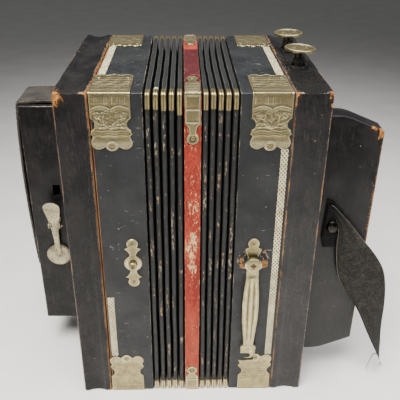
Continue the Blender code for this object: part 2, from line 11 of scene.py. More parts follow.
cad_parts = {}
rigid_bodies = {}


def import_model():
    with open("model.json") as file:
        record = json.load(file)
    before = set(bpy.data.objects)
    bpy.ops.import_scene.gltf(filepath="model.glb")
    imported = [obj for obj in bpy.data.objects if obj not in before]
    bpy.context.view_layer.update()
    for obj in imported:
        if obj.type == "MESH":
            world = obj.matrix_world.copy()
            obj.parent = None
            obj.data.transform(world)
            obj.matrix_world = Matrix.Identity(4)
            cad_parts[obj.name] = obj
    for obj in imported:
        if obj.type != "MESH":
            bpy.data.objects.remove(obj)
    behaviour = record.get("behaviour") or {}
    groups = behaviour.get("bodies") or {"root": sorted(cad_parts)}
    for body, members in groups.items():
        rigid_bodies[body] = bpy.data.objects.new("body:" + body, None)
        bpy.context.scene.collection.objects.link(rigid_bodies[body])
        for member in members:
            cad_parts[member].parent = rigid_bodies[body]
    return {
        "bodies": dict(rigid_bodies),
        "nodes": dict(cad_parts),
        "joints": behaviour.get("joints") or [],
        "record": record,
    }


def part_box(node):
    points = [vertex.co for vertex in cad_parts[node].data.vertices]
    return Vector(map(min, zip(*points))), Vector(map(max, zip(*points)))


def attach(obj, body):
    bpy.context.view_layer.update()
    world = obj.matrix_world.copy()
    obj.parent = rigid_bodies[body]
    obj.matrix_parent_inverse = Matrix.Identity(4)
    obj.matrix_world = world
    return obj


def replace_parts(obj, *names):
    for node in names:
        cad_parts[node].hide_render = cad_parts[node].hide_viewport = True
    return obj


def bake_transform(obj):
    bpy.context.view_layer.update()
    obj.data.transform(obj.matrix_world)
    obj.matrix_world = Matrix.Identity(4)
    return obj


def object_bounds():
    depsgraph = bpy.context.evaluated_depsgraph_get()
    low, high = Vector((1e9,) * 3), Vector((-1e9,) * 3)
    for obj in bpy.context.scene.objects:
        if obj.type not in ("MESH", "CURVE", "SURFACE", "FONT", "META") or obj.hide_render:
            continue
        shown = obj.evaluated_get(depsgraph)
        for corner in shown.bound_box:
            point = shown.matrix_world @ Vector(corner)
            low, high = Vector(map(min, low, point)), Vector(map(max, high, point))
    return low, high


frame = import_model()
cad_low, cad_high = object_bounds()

MM = 0.001


def node_box(node):
    """A CAD node's box in millimetres."""
    return [np.array(corner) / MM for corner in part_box(node)]


def x_span(node):
    """The low and high X of a CAD node's box."""
    return [corner[0] for corner in node_box(node)]


def middle_x(node):
    return sum(x_span(node)) / 2


def joint_place(name):
    """A joint's place in the instrument."""
    joint = next(j for j in frame["record"]["behaviour"]["joints"] if j["name"] == name)
    return [v / MM for v in joint["pos_m"]]


# The top front clip lies on the casing's front and top, so its box gives both.
clip_low, clip_high = node_box("middle_clip_top_front")
TOP = clip_high[2]
FRONT = -clip_low[1]
CLIP_X = middle_x("middle_clip_top_front")
SIDE = {"bass": -1, "treble": 1}
CASE_X, FRAME_X, FOLD_X = (
    {s: x_span(f"{s}_{part}") for s in SIDE} for part in ("case", "bellows_frame", "bellows"))
MIDDLE_X = x_span("middle_frame")
FOLDS = 5
# How far the covered frames' surface lies inside the casing's outside.
COVER = 0.6
# The bass frame's lip reaches this far out under its case, and isn't covered with cloth.
LIP_REACH = 1.8
FRAME_X["bass"][0] += LIP_REACH


# ---------------------------------------------------------------- camera, floor and light

PITCH, YAW, ROLL = (math.radians(a) for a in (28.515, 1.838, 0.590))
CAMERA_PLACE = (-0.0073956, -0.4719738, 0.4062950)
LENS, SENSOR = 52.54, 36.0


def look():
    """Sets up the camera."""
    level_step = math.cos(PITCH)
    forward = Vector((math.sin(YAW) * level_step, math.cos(YAW) * level_step, -math.sin(PITCH)))
    right = forward.cross(Vector((0, 0, 1))).normalized()
    up = right.cross(forward)
    level = right * math.cos(ROLL) + up * math.sin(ROLL)
    tall = up * math.cos(ROLL) - right * math.sin(ROLL)
    turn = Matrix((level, tall, -forward)).transposed().to_4x4()
    data = bpy.data.cameras.new("camera")
    data.lens = LENS
    data.sensor_width = SENSOR
    camera = bpy.data.objects.new("camera", data)
    camera.matrix_world = Matrix.Translation(CAMERA_PLACE) @ turn
    bpy.context.collection.objects.link(camera)
    bpy.context.scene.camera = camera


def area_light(name, place, aim, size, power, colour=(1, 1, 1), spread=180):
    data = bpy.data.lights.new(name, "AREA")
    data.shape = "RECTANGLE"
    data.size, data.size_y = size
    data.energy = power
    data.color = colour
    data.spread = math.radians(spread)
    light = bpy.data.objects.new(name, data)
    light.location = place
    light.rotation_euler = (Vector(aim) - Vector(place)).to_track_quat("-Z", "Y").to_euler()
    bpy.context.collection.objects.link(light)


# ---------------------------------------------------------------- materials


# Spots are stretched along Z by the inverse of this.
SPOT_FLAT = 0.72


class Paint:
    """A material's node tree, with the few node patterns that every finish here uses."""

    def __init__(self, name, place="Object"):
        self.material = bpy.data.materials.new(name)
        self.material.use_nodes = True
        self.tree = self.material.node_tree
        self.shader = self.tree.nodes["Principled BSDF"]
        if place == "Object":
            self.place = self.node("TexCoord").outputs["Object"]
        else:
            self.place = self.node("Attribute", attribute_name=place).outputs["Vector"]
        self.separate = self.node("SeparateXYZ", {0: self.place})

    def node(self, kind, inputs=None, **settings):
        node = self.tree.nodes.new("ShaderNode" + kind)
        for key, value in settings.items():
            setattr(node, key, value)
        for key, value in (inputs or {}).items():
            self.put(node.inputs[key], value)
        return node

    def put(self, socket, value):
        if isinstance(value, bpy.types.NodeSocket):
            self.tree.links.new(value, socket)
        elif socket.type == "RGBA":
            socket.default_value = (*value, 1.0) if len(value) == 3 else value
        else:
            socket.default_value = value

    def maths(self, operation, *values):
        return self.node("Math", dict(enumerate(values)), operation=operation).outputs[0]

    def chain(self, operation, values):
        return functools.reduce(lambda total, value: self.maths(operation, total, value), values)

    def add(self, *values):
        return self.chain("ADD", values)

    def times(self, *values):
        return self.chain("MULTIPLY", values)

    def most(self, *values):
        return self.chain("MAXIMUM", values)

    def scaled(self, size, stretch=(1, 1, 1), shift=0.0, turn=(0, 0, 0)):
        """Texture coordinates for features of size millimetres, and stretch times that along each axis."""
        scale = [1 / (MM * size * s) for s in stretch]
        moved = (shift, shift * 1.7, -shift)
        inputs = {"Scale": scale, "Location": moved, "Rotation": turn, "Vector": self.place}
        return self.node("Mapping", inputs).outputs[0]

    def noise(self, size, stretch=(1, 1, 1), detail=3.0, rough=0.55, shift=0.0, turn=(0, 0, 0)):
        vector = self.scaled(size, stretch, shift, turn)
        inputs = {"Vector": vector, "Scale": 1.0, "Detail": detail, "Roughness": rough}
        return self.node("TexNoise", inputs).outputs[0]

    def cells(self, size, feature="F1", shift=0.0):
        inputs = {"Vector": self.scaled(size, shift=shift), "Scale": 1.0, "Randomness": 1.0}
        return self.node("TexVoronoi", inputs, feature=feature).outputs["Distance"]

    def step(self, value, start, end, low=0.0, high=1.0):
        """low below start, high above end, and smooth between."""
        if start > end:
            start, end, low, high = end, start, high, low
        inputs = {"Value": value, "From Min": start, "From Max": end, "To Min": low, "To Max": high}
        return self.node("MapRange", inputs, interpolation_type="SMOOTHSTEP").outputs[0]

    def patches(self, size, start, end, low=0.0, high=1.0, **settings):
        """Noise taken through a step."""
        return self.step(self.noise(size, **settings), start, end, low, high)

    def ragged(self, strength, size, centre=0.5, **settings):
        """Noise about zero."""
        return self.times(self.add(self.noise(size, **settings), -centre), strength)

    def mix(self, factor, a, b):
        node = self.node("Mix", data_type="RGBA")
        colours = [s for s in node.inputs if s.type == "RGBA"]
        for socket, value in zip((node.inputs[0], *colours), (factor, a, b)):
            self.put(socket, value)
        return next(s for s in node.outputs if s.type == "RGBA")

    def speckle(self, size, start, end, shift=0.0):
        """Round spots scattered through noise."""
        return self.step(self.cells(size, shift=shift), start, end)

    def vector(self, operation, a, b, output=0):
        return self.node("VectorMath", {0: a, 1: b}, operation=operation).outputs[output]

    def attribute(self, name):
        return self.node("Attribute", attribute_name=name).outputs["Fac"]

    def along(self, axis):
        return self.separate.outputs["XYZ".index(axis)]

    def edge(self, low, high):
        """The distance, in metres, from a point on a box to the box's nearest edge."""
        near = []
        for axis, a, b in zip("XYZ", low, high):
            value = self.along(axis)
            below = self.maths("SUBTRACT", value, a * MM)
            above = self.maths("SUBTRACT", b * MM, value)
            near.append(self.maths("ABSOLUTE", self.maths("MINIMUM", below, above)))
        x, y, z = near
        return self.most(self.maths("MINIMUM", x, y), self.maths("MINIMUM", self.maths("MAXIMUM", x, y), z))

    def spots(self, centres, rag=0.5, grain=3.0):
        """Under 1 inside ragged spheres (x, y, z, radius), in millimetres, and more outside them."""
        coarse = self.add(self.noise(grain, (1, 1, 2.0), detail=2), -0.5)
        fine = self.add(self.noise(grain * 0.3, (1, 1, 2.6), detail=4, rough=0.7), -0.5)
        place = self.vector("MULTIPLY", self.place, (1, 1, SPOT_FLAT))
        nearest = None
        for x, y, z, radius in centres:
            gap = self.vector("DISTANCE", place, (x * MM, y * MM, z * MM * SPOT_FLAT), "Value")
            near = self.maths("DIVIDE", gap, radius * MM)
            nearest = near if nearest is None else self.maths("MINIMUM", nearest, near)
        return self.add(nearest, self.times(self.add(coarse, self.times(fine, 0.7)), rag * 3.4))

    def scratch(self, a, b, width, grain=2.0):
        """1 along a ragged line between two points, in millimetres."""
        a, b = Vector(a) * MM, Vector(b) * MM
        along = b - a
        from_a = self.vector("SUBTRACT", self.place, a)
        share = self.vector("DOT_PRODUCT", from_a, along / along.length_squared, "Value")
        t = self.maths("MINIMUM", self.maths("MAXIMUM", share, 0.0), 1.0)
        spot = self.node("VectorMath", {0: along, "Scale": t}, operation="SCALE").outputs[0]
        gap = self.vector("DISTANCE", from_a, spot, "Value")
        rag = self.ragged(4 * width * MM, grain, 0.45, detail=4)
        return self.step(self.add(gap, rag), width * MM, width * 0.4 * MM)

    def bump(self, height, distance, strength=1.0, normal=None):
        inputs = {"Height": height, "Distance": distance * MM, "Strength": strength}
        if normal is not None:
            inputs["Normal"] = normal
        return self.node("Bump", inputs).outputs[0]

    def finish(self, colour, roughness, normal=None, **constants):
        self.put(self.shader.inputs["Base Color"], colour)
        self.put(self.shader.inputs["Roughness"], roughness)
        if normal is not None:
            self.put(self.shader.inputs["Normal"], normal)
        for key, value in constants.items():
            self.shader.inputs[key.replace("_", " ")].default_value = value
        return self.material


BARE = (0.40, 0.17, 0.042)
BARE_DARK = (0.095, 0.032, 0.009)
BARE_PAINTED_HIGHLIGHT = (0.58, 0.36, 0.14)


def grained(axis, stretch):
    """How far a texture is stretched along X, Y and Z."""
    return [stretch if a == axis else 1.0 for a in "XYZ"]


def bare_colour(p, grain="Z"):
    """Old unpainted wood, with its grain along one axis, and pale streaks along the grain painted as
    highlight.
    """
    stretch = grained(grain, 9.0)
    colour = p.mix(p.patches(0.9, 0.36, 0.62, stretch=stretch, detail=4, rough=0.7), BARE_DARK, BARE)
    # Pale streaks along the grain: a painted highlight.
    pale = p.patches(1.4, 0.54, 0.68, stretch=stretch, detail=4, rough=0.7, shift=21)
    return p.mix(pale, colour, BARE_PAINTED_HIGHLIGHT)


def ebony(name, box=None, chips=(), gloss=0.30, wear=1.0, attribute=None, lines=(), shine=0.32):
    """Black-stained wood: streaks and fine scratches along Z, with edges rubbed pale or bare.

    The edges are those of box, or where the attribute is near 1. chips and lines are bare too.
    """
    p = Paint(name)
    stretch = grained("Z", 26.0)
    streaks = p.noise(0.8, stretch, detail=5, rough=0.7)
    clouds = p.noise(24, detail=4, rough=0.6)
    colour = p.mix(p.step(clouds, 0.35, 0.7), (0.006, 0.0056, 0.0058), (0.016, 0.0145, 0.0145))
    colour = p.mix(p.step(streaks, 0.56, 0.74, 0, 0.6), colour, (0.066, 0.060, 0.056))
    fine = p.noise(0.35, stretch, detail=2, rough=0.6, shift=3.1)
    scratched = p.times(p.step(fine, 0.63, 0.72), p.patches(17, 0.42, 0.62, shift=5))
    slanted = p.noise(0.4, grained("Z", 24.0), detail=2, shift=8.4, turn=(0.5, 0.35, 0.2))
    scratched = p.most(scratched, p.times(p.step(slanted, 0.69, 0.74), p.patches(21, 0.5, 0.6, shift=9)))
    colour = p.mix(p.times(scratched, 0.55), colour, (0.16, 0.14, 0.125))
    specks = p.times(p.speckle(6.5, 0.075, 0.045, shift=2), p.patches(26, 0.5, 0.58, shift=12))
    colour = p.mix(specks, colour, (0.33, 0.29, 0.23))
    rubbed = None
    if box is not None:
        rag = p.ragged(0.0036 * wear, 2.6, detail=5, rough=0.65)
        patchy = p.ragged(0.0042 * wear, 19, 0.52, shift=4)
        rubbed = p.maths("SUBTRACT", p.edge(*box), p.add(rag, patchy))
    if attribute:
        worn = p.attribute(attribute)
        rag = p.ragged(0.0036 * wear, 2.4, detail=5, rough=0.7)
        patchy = p.ragged(0.005 * wear, 21, shift=4)
        rubbed = p.maths("SUBTRACT", p.times(p.maths("SUBTRACT", 1.0, worn), 0.004), p.add(rag, patchy))
    bare = None
    if rubbed is not None:
        scuff = p.step(rubbed, 0.0009, 0.0002)
        colour = p.mix(p.times(scuff, 0.75), colour, (0.15, 0.125, 0.10))
        bare = p.step(rubbed, 0.0001, -0.0002)
    if chips:
        gap = p.spots(chips, 0.9, 3.2)
        colour = p.mix(p.step(gap, 1.5, 1.05), colour, (0.040, 0.016, 0.006))
        bare = p.most(bare, p.step(gap, 0.98, 0.88))
    for a, b, width in lines:
        bare = p.most(bare, p.scratch(a, b, width, 1.4))
    rough = p.add(p.patches(5, 0.3, 0.75, gloss - 0.04, gloss + 0.1, detail=4), p.times(streaks, 0.14))
    height = p.times(streaks, 0.35)
    if bare is not None:
        colour = p.mix(bare, colour, bare_colour(p))
        rough = p.add(rough, p.times(bare, 0.35))
        height = p.add(height, p.times(bare, -0.9))
    height = p.add(height, p.times(scratched, -0.4))
    normal = p.bump(height, 0.2, 0.55)
    normal = p.bump(p.noise(30, detail=2), 0.5, 0.25, normal)
    return p.finish(colour, rough, normal, Specular_IOR_Level=shine)


def leatherette(name, rings=(), chips=(), scuffs=()):
    """Black book cloth with a pressed grain, rubbed at its edges.

    scuffs are pale lines. rings are torn arcs (x, z, near, far), where metal has turned on the front, and
    chips are where the wood shows in them.
    """
    p = Paint(name)
    grain = p.cells(0.75, feature="DISTANCE_TO_EDGE")
    fine = p.noise(0.5, detail=4, rough=0.65)
    clouds = p.noise(18, detail=5, rough=0.65)
    colour = p.mix(p.step(clouds, 0.32, 0.72), (0.0065, 0.0072, 0.0085), (0.018, 0.0195, 0.0215))
    colour = p.mix(p.step(fine, 0.5, 0.8, 0, 0.5), colour, (0.036, 0.038, 0.039))
    faded = p.times(p.patches(42, 0.48, 0.7, shift=7), 0.5)
    colour = p.mix(faded, colour, (0.030, 0.031, 0.030))
    specks = p.times(p.speckle(4.2, 0.10, 0.05, shift=2), p.patches(22, 0.53, 0.6, shift=12))
    line = p.noise(0.55, [24.0, 1.0, 1.6], detail=1, shift=6.4, turn=(0, 0.42, 0))
    lines = p.times(p.step(line, 0.70, 0.74), p.patches(16, 0.55, 0.62, shift=9))
    colour = p.mix(p.times(p.most(specks, lines), 0.8), colour, (0.36, 0.33, 0.26))
    worn = p.attribute("wear")
    rag = p.add(p.noise(2.2, detail=5, rough=0.7), p.ragged(0.6, 15, shift=3))
    rubbed = p.step(p.add(worn, p.times(p.add(rag, -0.5), 1.5)), 0.93, 1.06)
    colour = p.mix(p.times(rubbed, 0.85), colour, (0.24, 0.20, 0.145))
    height = p.add(p.times(p.step(grain, 0.0, 0.22), 0.5), p.times(fine, 0.4))
    rough = p.patches(3.5, 0.3, 0.7, 0.36, 0.55, detail=4)
    for a, b, width in scuffs:
        pale = p.scratch(a, b, width)
        colour = p.mix(p.times(pale, 0.75), colour, (0.30, 0.285, 0.25))
    for x, z, near, far in rings:
        half = (far - near) / 2 * MM
        flat = p.vector("MULTIPLY", p.place, (1, 0, 1))
        reach = p.vector("DISTANCE", flat, (x * MM, 0, z * MM), "Value")
        band = p.maths("ABSOLUTE", p.add(reach, -(near + far) / 2 * MM))
        above = p.maths("ABSOLUTE", p.add(p.along("Z"), -z * MM))
        rag = p.ragged(0.011, 2.4, detail=5, rough=0.72, shift=2.6)
        band = p.add(band, p.step(above, 0.007, 0.011, 0, 0.006), rag)
        torn = p.step(band, half, half * 0.85)
        inner = p.step(band, half * 0.78, half * 0.66)
        splinters = p.times(p.patches(3.4, 0.56, 0.6, detail=3, shift=31), inner)
        wood = p.most(splinters, p.step(p.spots(chips), 1.0, 0.9))
        frayed = p.patches(2.2, 0.42, 0.6, detail=3, shift=14)
        colour = p.mix(torn, colour, p.mix(frayed, (0.02, 0.018, 0.014), (0.56, 0.48, 0.31)))
        colour = p.mix(inner, colour, (0.009, 0.009, 0.010))
        colour = p.mix(wood, colour, bare_colour(p, "X"))
        torn = p.most(torn, wood)
        height = p.add(height, p.times(torn, -1.6))
        rough = p.add(rough, p.times(torn, 0.2))
    return p.finish(colour, rough, p.bump(height, 0.13, 0.8), Specular_IOR_Level=0.36)


def fold_cloth(name):
    """The folds' thin black cloth, rubbed through to pale card in flecks along the crests, which carry
    painted highlights.
    """
    p = Paint(name, "rest")
    crest = p.attribute("crest")
    weave = p.noise(0.45, detail=3, rough=0.6)
    clouds = p.noise(9, (1, 3, 3), detail=4)
    colour = p.mix(p.step(clouds, 0.3, 0.7), (0.0045, 0.0046, 0.005), (0.013, 0.0132, 0.0138))
    # Painted highlight along each crest, broken up by the weave.
    colour = p.mix(p.times(crest, p.step(weave, 0.35, 0.7, 0.05, 0.5)), colour, (0.036, 0.037, 0.037))
    rag = p.noise(1.3, (1, 1.6, 2.6), detail=5, rough=0.75)
    patch = p.patches(13, 0.5, 0.7, stretch=(0.5, 1.2, 1.6), shift=11)
    on_top = p.step(p.along("Z"), (TOP - 5) * MM, (TOP - 1.5) * MM)
    wear = p.add(p.times(crest, 0.5), rag, p.times(patch, 0.13), p.times(on_top, -0.16))
    fleck = p.step(wear, 1.10, 1.15)
    # Painted highlight lines along both sides of each crest, faint away from the top and full on it.
    shoulder = p.times(p.step(crest, 0.55, 0.72), p.step(crest, 0.97, 0.86))
    painted_highlight_lines = p.times(shoulder, p.step(rag, 0.34, 0.52), p.step(on_top, 0, 1, 0.15, 1.0))
    colour = p.mix(p.times(painted_highlight_lines, 0.75), colour, (0.105, 0.108, 0.102))
    card = p.mix(p.patches(4, 0.5, 0.62, shift=3), (0.30, 0.25, 0.18), (0.42, 0.24, 0.09))
    colour = p.mix(p.times(fleck, 0.9), colour, card)
    x0, x1 = FOLD_X["bass"]
    tear = (x0 + (x1 - x0) * 1.5 / FOLDS, 12 - FRONT, TOP, 2.6)
    torn = p.step(p.spots([tear], 0.8, 2.0), 1.0, 0.9)
    colour = p.mix(torn, colour, (0.62, 0.55, 0.45))
    rough = p.step(weave, 0.3, 0.7, 0.42, 0.62)
    normal = p.bump(p.add(weave, p.times(fleck, -0.8)), 0.12, 0.8)
    return p.finish(colour, rough, normal, Specular_IOR_Level=0.3)


def red_paper(name):
    """Vermilion paper on the middle frame, rubbed to cream, and darkened on the top."""
    p = Paint(name)
    z, y = p.along("Z"), p.along("Y")
    clouds = p.noise(11, (1, 1, 2.4), detail=5, rough=0.65)
    front = p.mix(p.step(clouds, 0.35, 0.7), (0.19, 0.013, 0.008), (0.37, 0.042, 0.021))
    mottle = p.noise(1.5, (1, 1, 1.8), detail=6, rough=0.75, shift=23)
    front = p.mix(p.step(mottle, 0.50, 0.66, 0, 0.65), front, (0.48, 0.095, 0.048))
    front = p.mix(p.step(mottle, 0.46, 0.36, 0, 0.6), front, (0.11, 0.008, 0.007))
    fine = p.patches(1.2, 0.35, 0.7, detail=5, rough=0.7)
    crimson = p.mix(fine, (0.016, 0.0022, 0.005), (0.105, 0.008, 0.012))
    on_top = p.step(z, (TOP - 4) * MM, (TOP - 1.5) * MM)
    toward_back = p.step(p.add(y, p.times(p.add(clouds, -0.5), 0.03)), 0.030, 0.044)
    colour = p.mix(p.times(on_top, p.step(toward_back, 0, 1, 1, 0)), front, crimson)
    low_part = p.step(z, 0.115, 0.03)
    colour = p.mix(p.times(low_part, p.step(clouds, 0.3, 0.7, 0.1, 0.5)), colour, (0.46, 0.10, 0.05))
    rag = p.noise(1.1, (1, 1, 2.4), detail=6, rough=0.75, shift=2)

    def near(value, place, start, end):
        return p.step(p.maths("ABSOLUTE", p.add(value, -place)), start, end)

    upper, middle = near(z, 0.180, 0.065, 0.012), near(z, 0.150, 0.030, 0.006)
    centred = near(p.along("X"), CLIP_X * MM, 0.005, 0.001)
    patch = p.times(p.noise(8, (1, 1, 1.8), shift=5), 0.34)
    patch = p.add(patch, p.times(upper, 0.05), p.times(middle, centred, 0.15))
    fleck = p.step(p.add(rag, patch), 0.795, 0.825)
    colour = p.mix(fleck, colour, p.mix(p.noise(3, shift=8), (0.72, 0.42, 0.16), (0.78, 0.52, 0.30)))
    grime = p.times(p.patches(2.6, 0.57, 0.74, stretch=(1, 1, 3), detail=5, shift=17), 0.55)
    colour = p.mix(grime, colour, (0.20, 0.025, 0.016))
    worn = p.attribute("wear")
    edge = p.step(p.add(p.times(worn, 0.5), p.noise(1.6, (1, 1, 3), detail=4, shift=6)), 1.0, 1.08)
    colour = p.mix(edge, colour, (0.60, 0.44, 0.26))
    height = p.add(p.noise(0.6, detail=4), p.times(fleck, -0.8))
    rough = p.step(rag, 0.3, 0.7, 0.5, 0.72)
    return p.finish(colour, rough, p.bump(height, 0.14, 0.7), Specular_IOR_Level=0.25)


def nickel(name, tint=(0.41, 0.35, 0.19), dull=0.34, brushed=None, plain=False, tarnish=0.5, rust=0.0):
    """Old nickel silver, yellowed and spotted.

    Unless it's plain, it's grimy in its hollows and has a painted highlight on its raised lines. dull is its
    roughness, and brushed the axis of its brushing.
    """
    p = Paint(name)
    clouds = p.noise(8, detail=5, rough=0.65)
    dark = tuple(v * 0.58 for v in tint)
    colour = p.mix(p.step(clouds, 0.3, 0.72), dark, tint)
    warm = (tint[0] * 0.95, tint[1] * 0.84, tint[2] * 0.58)
    colour = p.mix(p.patches(5, 0.52, 0.7, 0, 0.6, detail=4, shift=4), colour, warm)
    spots = p.times(p.speckle(3.6, 0.17, 0.06, shift=1), p.patches(9, tarnish, tarnish + 0.1, shift=2))
    colour = p.mix(p.times(spots, 0.8), colour, (0.13, 0.105, 0.07))
    fine = p.noise(0.7, detail=4, rough=0.7, shift=6)
    rough = p.add(p.step(clouds, 0.3, 0.7, dull + 0.12, dull), p.times(p.add(fine, -0.5), 0.16))
    if rust:
        freckles = p.times(p.patches(1.5, 0.53, 0.60, detail=5, rough=0.75, shift=31), rust)
        colour = p.mix(freckles, colour, (0.075, 0.055, 0.032))
        rough = p.add(rough, p.times(freckles, 0.25))
    if not plain:
        relief = p.attribute("relief")
        grime = p.times(p.step(relief, 0.45, 0.10), p.step(fine, 0.3, 0.62, 0.45, 1.0))
        colour = p.mix(grime, colour, (0.085, 0.068, 0.042))
        # Painted highlight where the relief tone is high: on raised lines, rims and shoulders.
        colour = p.mix(p.step(relief, 0.58, 0.95, 0, 0.8), colour, (0.72, 0.64, 0.40))
        rough = p.add(rough, p.times(grime, 0.25))
    lines = p.noise(0.3, grained(brushed, 18.0), detail=3, shift=9)
    normal = p.bump(p.add(p.times(lines, 0.5), fine), 0.05, 0.5)
    return p.finish(colour, rough, normal, Metallic=1.0)


def patterned_bone():
    """The pale edging strip, printed with rows of small dark lozenges."""
    p = Paint("patterned_strip", "strip")
    u, v = p.separate.outputs[0], p.separate.outputs[1]

    def rows(value, pitch, shift=0.0):
        turn = p.add(p.times(value, 2 * math.pi / (pitch * MM)), shift)
        return p.maths("COSINE", turn)

    across, down = 2.75, 3.5  # the lozenges' pitches
    lozenge = p.add(rows(u, across, 0.3), rows(v, down))
    between = p.add(rows(u, across, 0.3 + math.pi), rows(v, down, math.pi))
    rag = p.ragged(3.0, 0.8, detail=4, rough=0.7)
    dots = p.step(p.add(p.most(lozenge, between), rag), 0.75, 1.15)
    faded = p.patches(9, 0.30, 0.55, 0.75, 1.0, detail=3, shift=3)
    cream = p.mix(p.patches(6, 0.3, 0.7, detail=4), (0.52, 0.45, 0.24), (0.84, 0.76, 0.50))
    colour = p.mix(p.times(dots, faded, 0.95), cream, (0.05, 0.04, 0.025))
    stain = p.patches(2.5, 0.6, 0.75, 0, 0.6, stretch=(1, 4, 1), detail=5, shift=6)
    colour = p.mix(stain, colour, (0.30, 0.24, 0.14))
    return p.finish(colour, p.step(dots, 0, 1, 0.42, 0.6), p.bump(dots, 0.08, 0.6))


def bare_wood(name, tint=1.0):
    """Pale unfinished wood, with its grain along Z."""
    p = Paint(name)
    stretch = grained("Z", 14.0)
    rings = p.noise(2.2, stretch, detail=5, rough=0.6)
    pores = p.noise(0.4, stretch, detail=3, rough=0.7, shift=4)
    light = tuple(v * tint for v in (0.46, 0.235, 0.085))
    dark = tuple(v * tint for v in (0.19, 0.068, 0.02))
    colour = p.mix(p.step(rings, 0.35, 0.68), dark, light)
    colour = p.mix(p.step(pores, 0.58, 0.72, 0, 0.6), colour, (0.11, 0.05, 0.02))
    colour = p.mix(p.patches(14, 0.5, 0.75, 0, 0.5, detail=4, shift=8), colour, (0.14, 0.08, 0.04))
    rough = p.step(pores, 0.3, 0.7, 0.5, 0.7)
    return p.finish(colour, rough, p.bump(p.add(pores, rings), 0.15, 0.6))


def worn_leather(name):
    """Dark leather, dried and rubbed brown-grey, with creases across its length."""
    p = Paint(name)
    grain = p.cells(0.9, feature="DISTANCE_TO_EDGE")
    fibre = p.noise(0.6, (1, 1, 2.5), detail=4, rough=0.7)
    clouds = p.noise(14, (1, 1, 2.2), detail=5, rough=0.65)
    colour = p.mix(p.step(clouds, 0.3, 0.72), (0.009, 0.008, 0.007), (0.050, 0.041, 0.032))
    colour = p.mix(p.step(fibre, 0.5, 0.72, 0, 0.6), colour, (0.095, 0.078, 0.060))
    crack = p.patches(1.6, 0.62, 0.70, stretch=(1, 7, 1), detail=5, rough=0.75, shift=5)
    colour = p.mix(p.times(crack, 0.8), colour, (0.018, 0.014, 0.012))
    worn = p.step(p.add(p.attribute("wear"), p.ragged(1.2, 2, detail=4)), 0.8, 1.05)
    colour = p.mix(p.times(worn, 0.7), colour, (0.20, 0.165, 0.125))
    height = p.add(p.times(p.step(grain, 0, 0.25), 0.4), fibre, p.times(crack, -1.4))
    return p.finish(colour, p.step(fibre, 0.3, 0.7, 0.55, 0.78), p.bump(height, 0.2, 0.9))


def strap_weave(name):
    """A dark closely woven strap: fine ribs both ways, slubs, a dusty bloom, and pale lines along both edges.
    """
    p = Paint(name, "strip")
    u, v = p.separate.outputs[0], p.separate.outputs[1]
    rib = p.maths("SINE", p.times(v, 2 * math.pi / (0.95 * MM)))
    thread = p.maths("SINE", p.add(p.times(u, 2 * math.pi / (1.1 * MM)), p.times(rib, 1.2)))
    weave = p.times(p.add(p.times(rib, thread), 1.0), 0.5)
    dust = p.noise(9, detail=5, rough=0.65)
    fuzz = p.noise(0.7, detail=4, rough=0.7, shift=3)
    colour = p.mix(p.step(weave, 0.25, 0.75), (0.003, 0.0028, 0.0026), (0.034, 0.031, 0.027))
    colour = p.mix(p.step(dust, 0.42, 0.74, 0, 0.5), colour, (0.062, 0.058, 0.050))
    slub = p.noise(2.2, (1.6, 1, 1), detail=4, rough=0.75, shift=8)
    colour = p.mix(p.step(slub, 0.53, 0.66, 0, 0.5), colour, (0.085, 0.079, 0.067))
    colour = p.mix(p.step(slub, 0.48, 0.36, 0, 0.6), colour, (0.006, 0.0055, 0.005))
    colour = p.mix(p.step(fuzz, 0.60, 0.67, 0, 0.8), colour, (0.24, 0.22, 0.18))
    edge = p.step(p.add(p.attribute("wear"), p.times(p.add(fuzz, -0.5), 1.0)), 0.66, 0.9)
    colour = p.mix(p.times(edge, 0.8), colour, (0.30, 0.27, 0.22))
    height = p.add(weave, p.times(fuzz, 0.5))
    return p.finish(colour, 0.9, p.bump(height, 0.22, 0.9), Specular_IOR_Level=0.22)


def simple(name, one, two, rough, size=1.5, depth=0.1, metallic=0.0, shine=0.5):
    """Two mottled shades, with a little bump and uneven gloss."""
    p = Paint(name)
    mottle = p.noise(size, detail=5, rough=0.65)
    wide = p.noise(size * 7, detail=3, shift=3)
    colour = p.mix(p.step(p.add(p.times(mottle, 0.6), p.times(wide, 0.4)), 0.36, 0.66), one, two)
    roughness = p.step(mottle, 0.3, 0.7, rough - 0.08, rough + 0.1)
    bump = p.bump(mottle, depth, 0.7)
    return p.finish(colour, roughness, bump, Metallic=metallic, Specular_IOR_Level=shine)


# ---------------------------------------------------------------- meshes, in millimetres


def wave(x, y, z, size, seed=0.0):
    """Smooth noise from -1 to 1."""
    return noise.noise(Vector((x / size + seed, y / size - seed * 0.7, z / size + seed * 0.3)))


def piece(name, verts, faces, material, body, slot=None, angle=35, values=None, recalc=True):
    """Makes one piece of the instrument from points in millimetres."""
    bm = bmesh.new()
    made = [bm.verts.new(Vector(v) * MM) for v in verts]
    for face in faces:
        corners = list(dict.fromkeys(face))
        if len(corners) > 2:
            try:
                bm.faces.new([made[i] for i in corners])
            except ValueError:
                continue
    if recalc:
        bmesh.ops.recalc_face_normals(bm, faces=bm.faces)
    mesh = bpy.data.meshes.new(name)
    bm.to_mesh(mesh)
    bm.free()
    for key, data in (values or {}).items():
        data = np.asarray(data, np.float32)
        kind = "FLOAT" if data.ndim == 1 else "FLOAT_VECTOR"
        layer = mesh.attributes.new(key, kind, "POINT")
        layer.data.foreach_set("value" if data.ndim == 1 else "vector", data.ravel())
    mesh.materials.append(material)
    mesh.shade_smooth()
    mesh.set_sharp_from_angle(angle=math.radians(angle))
    obj = bpy.data.objects.new(name, mesh)
    bpy.context.collection.objects.link(obj)
    if body:
        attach(obj, body)
    return obj


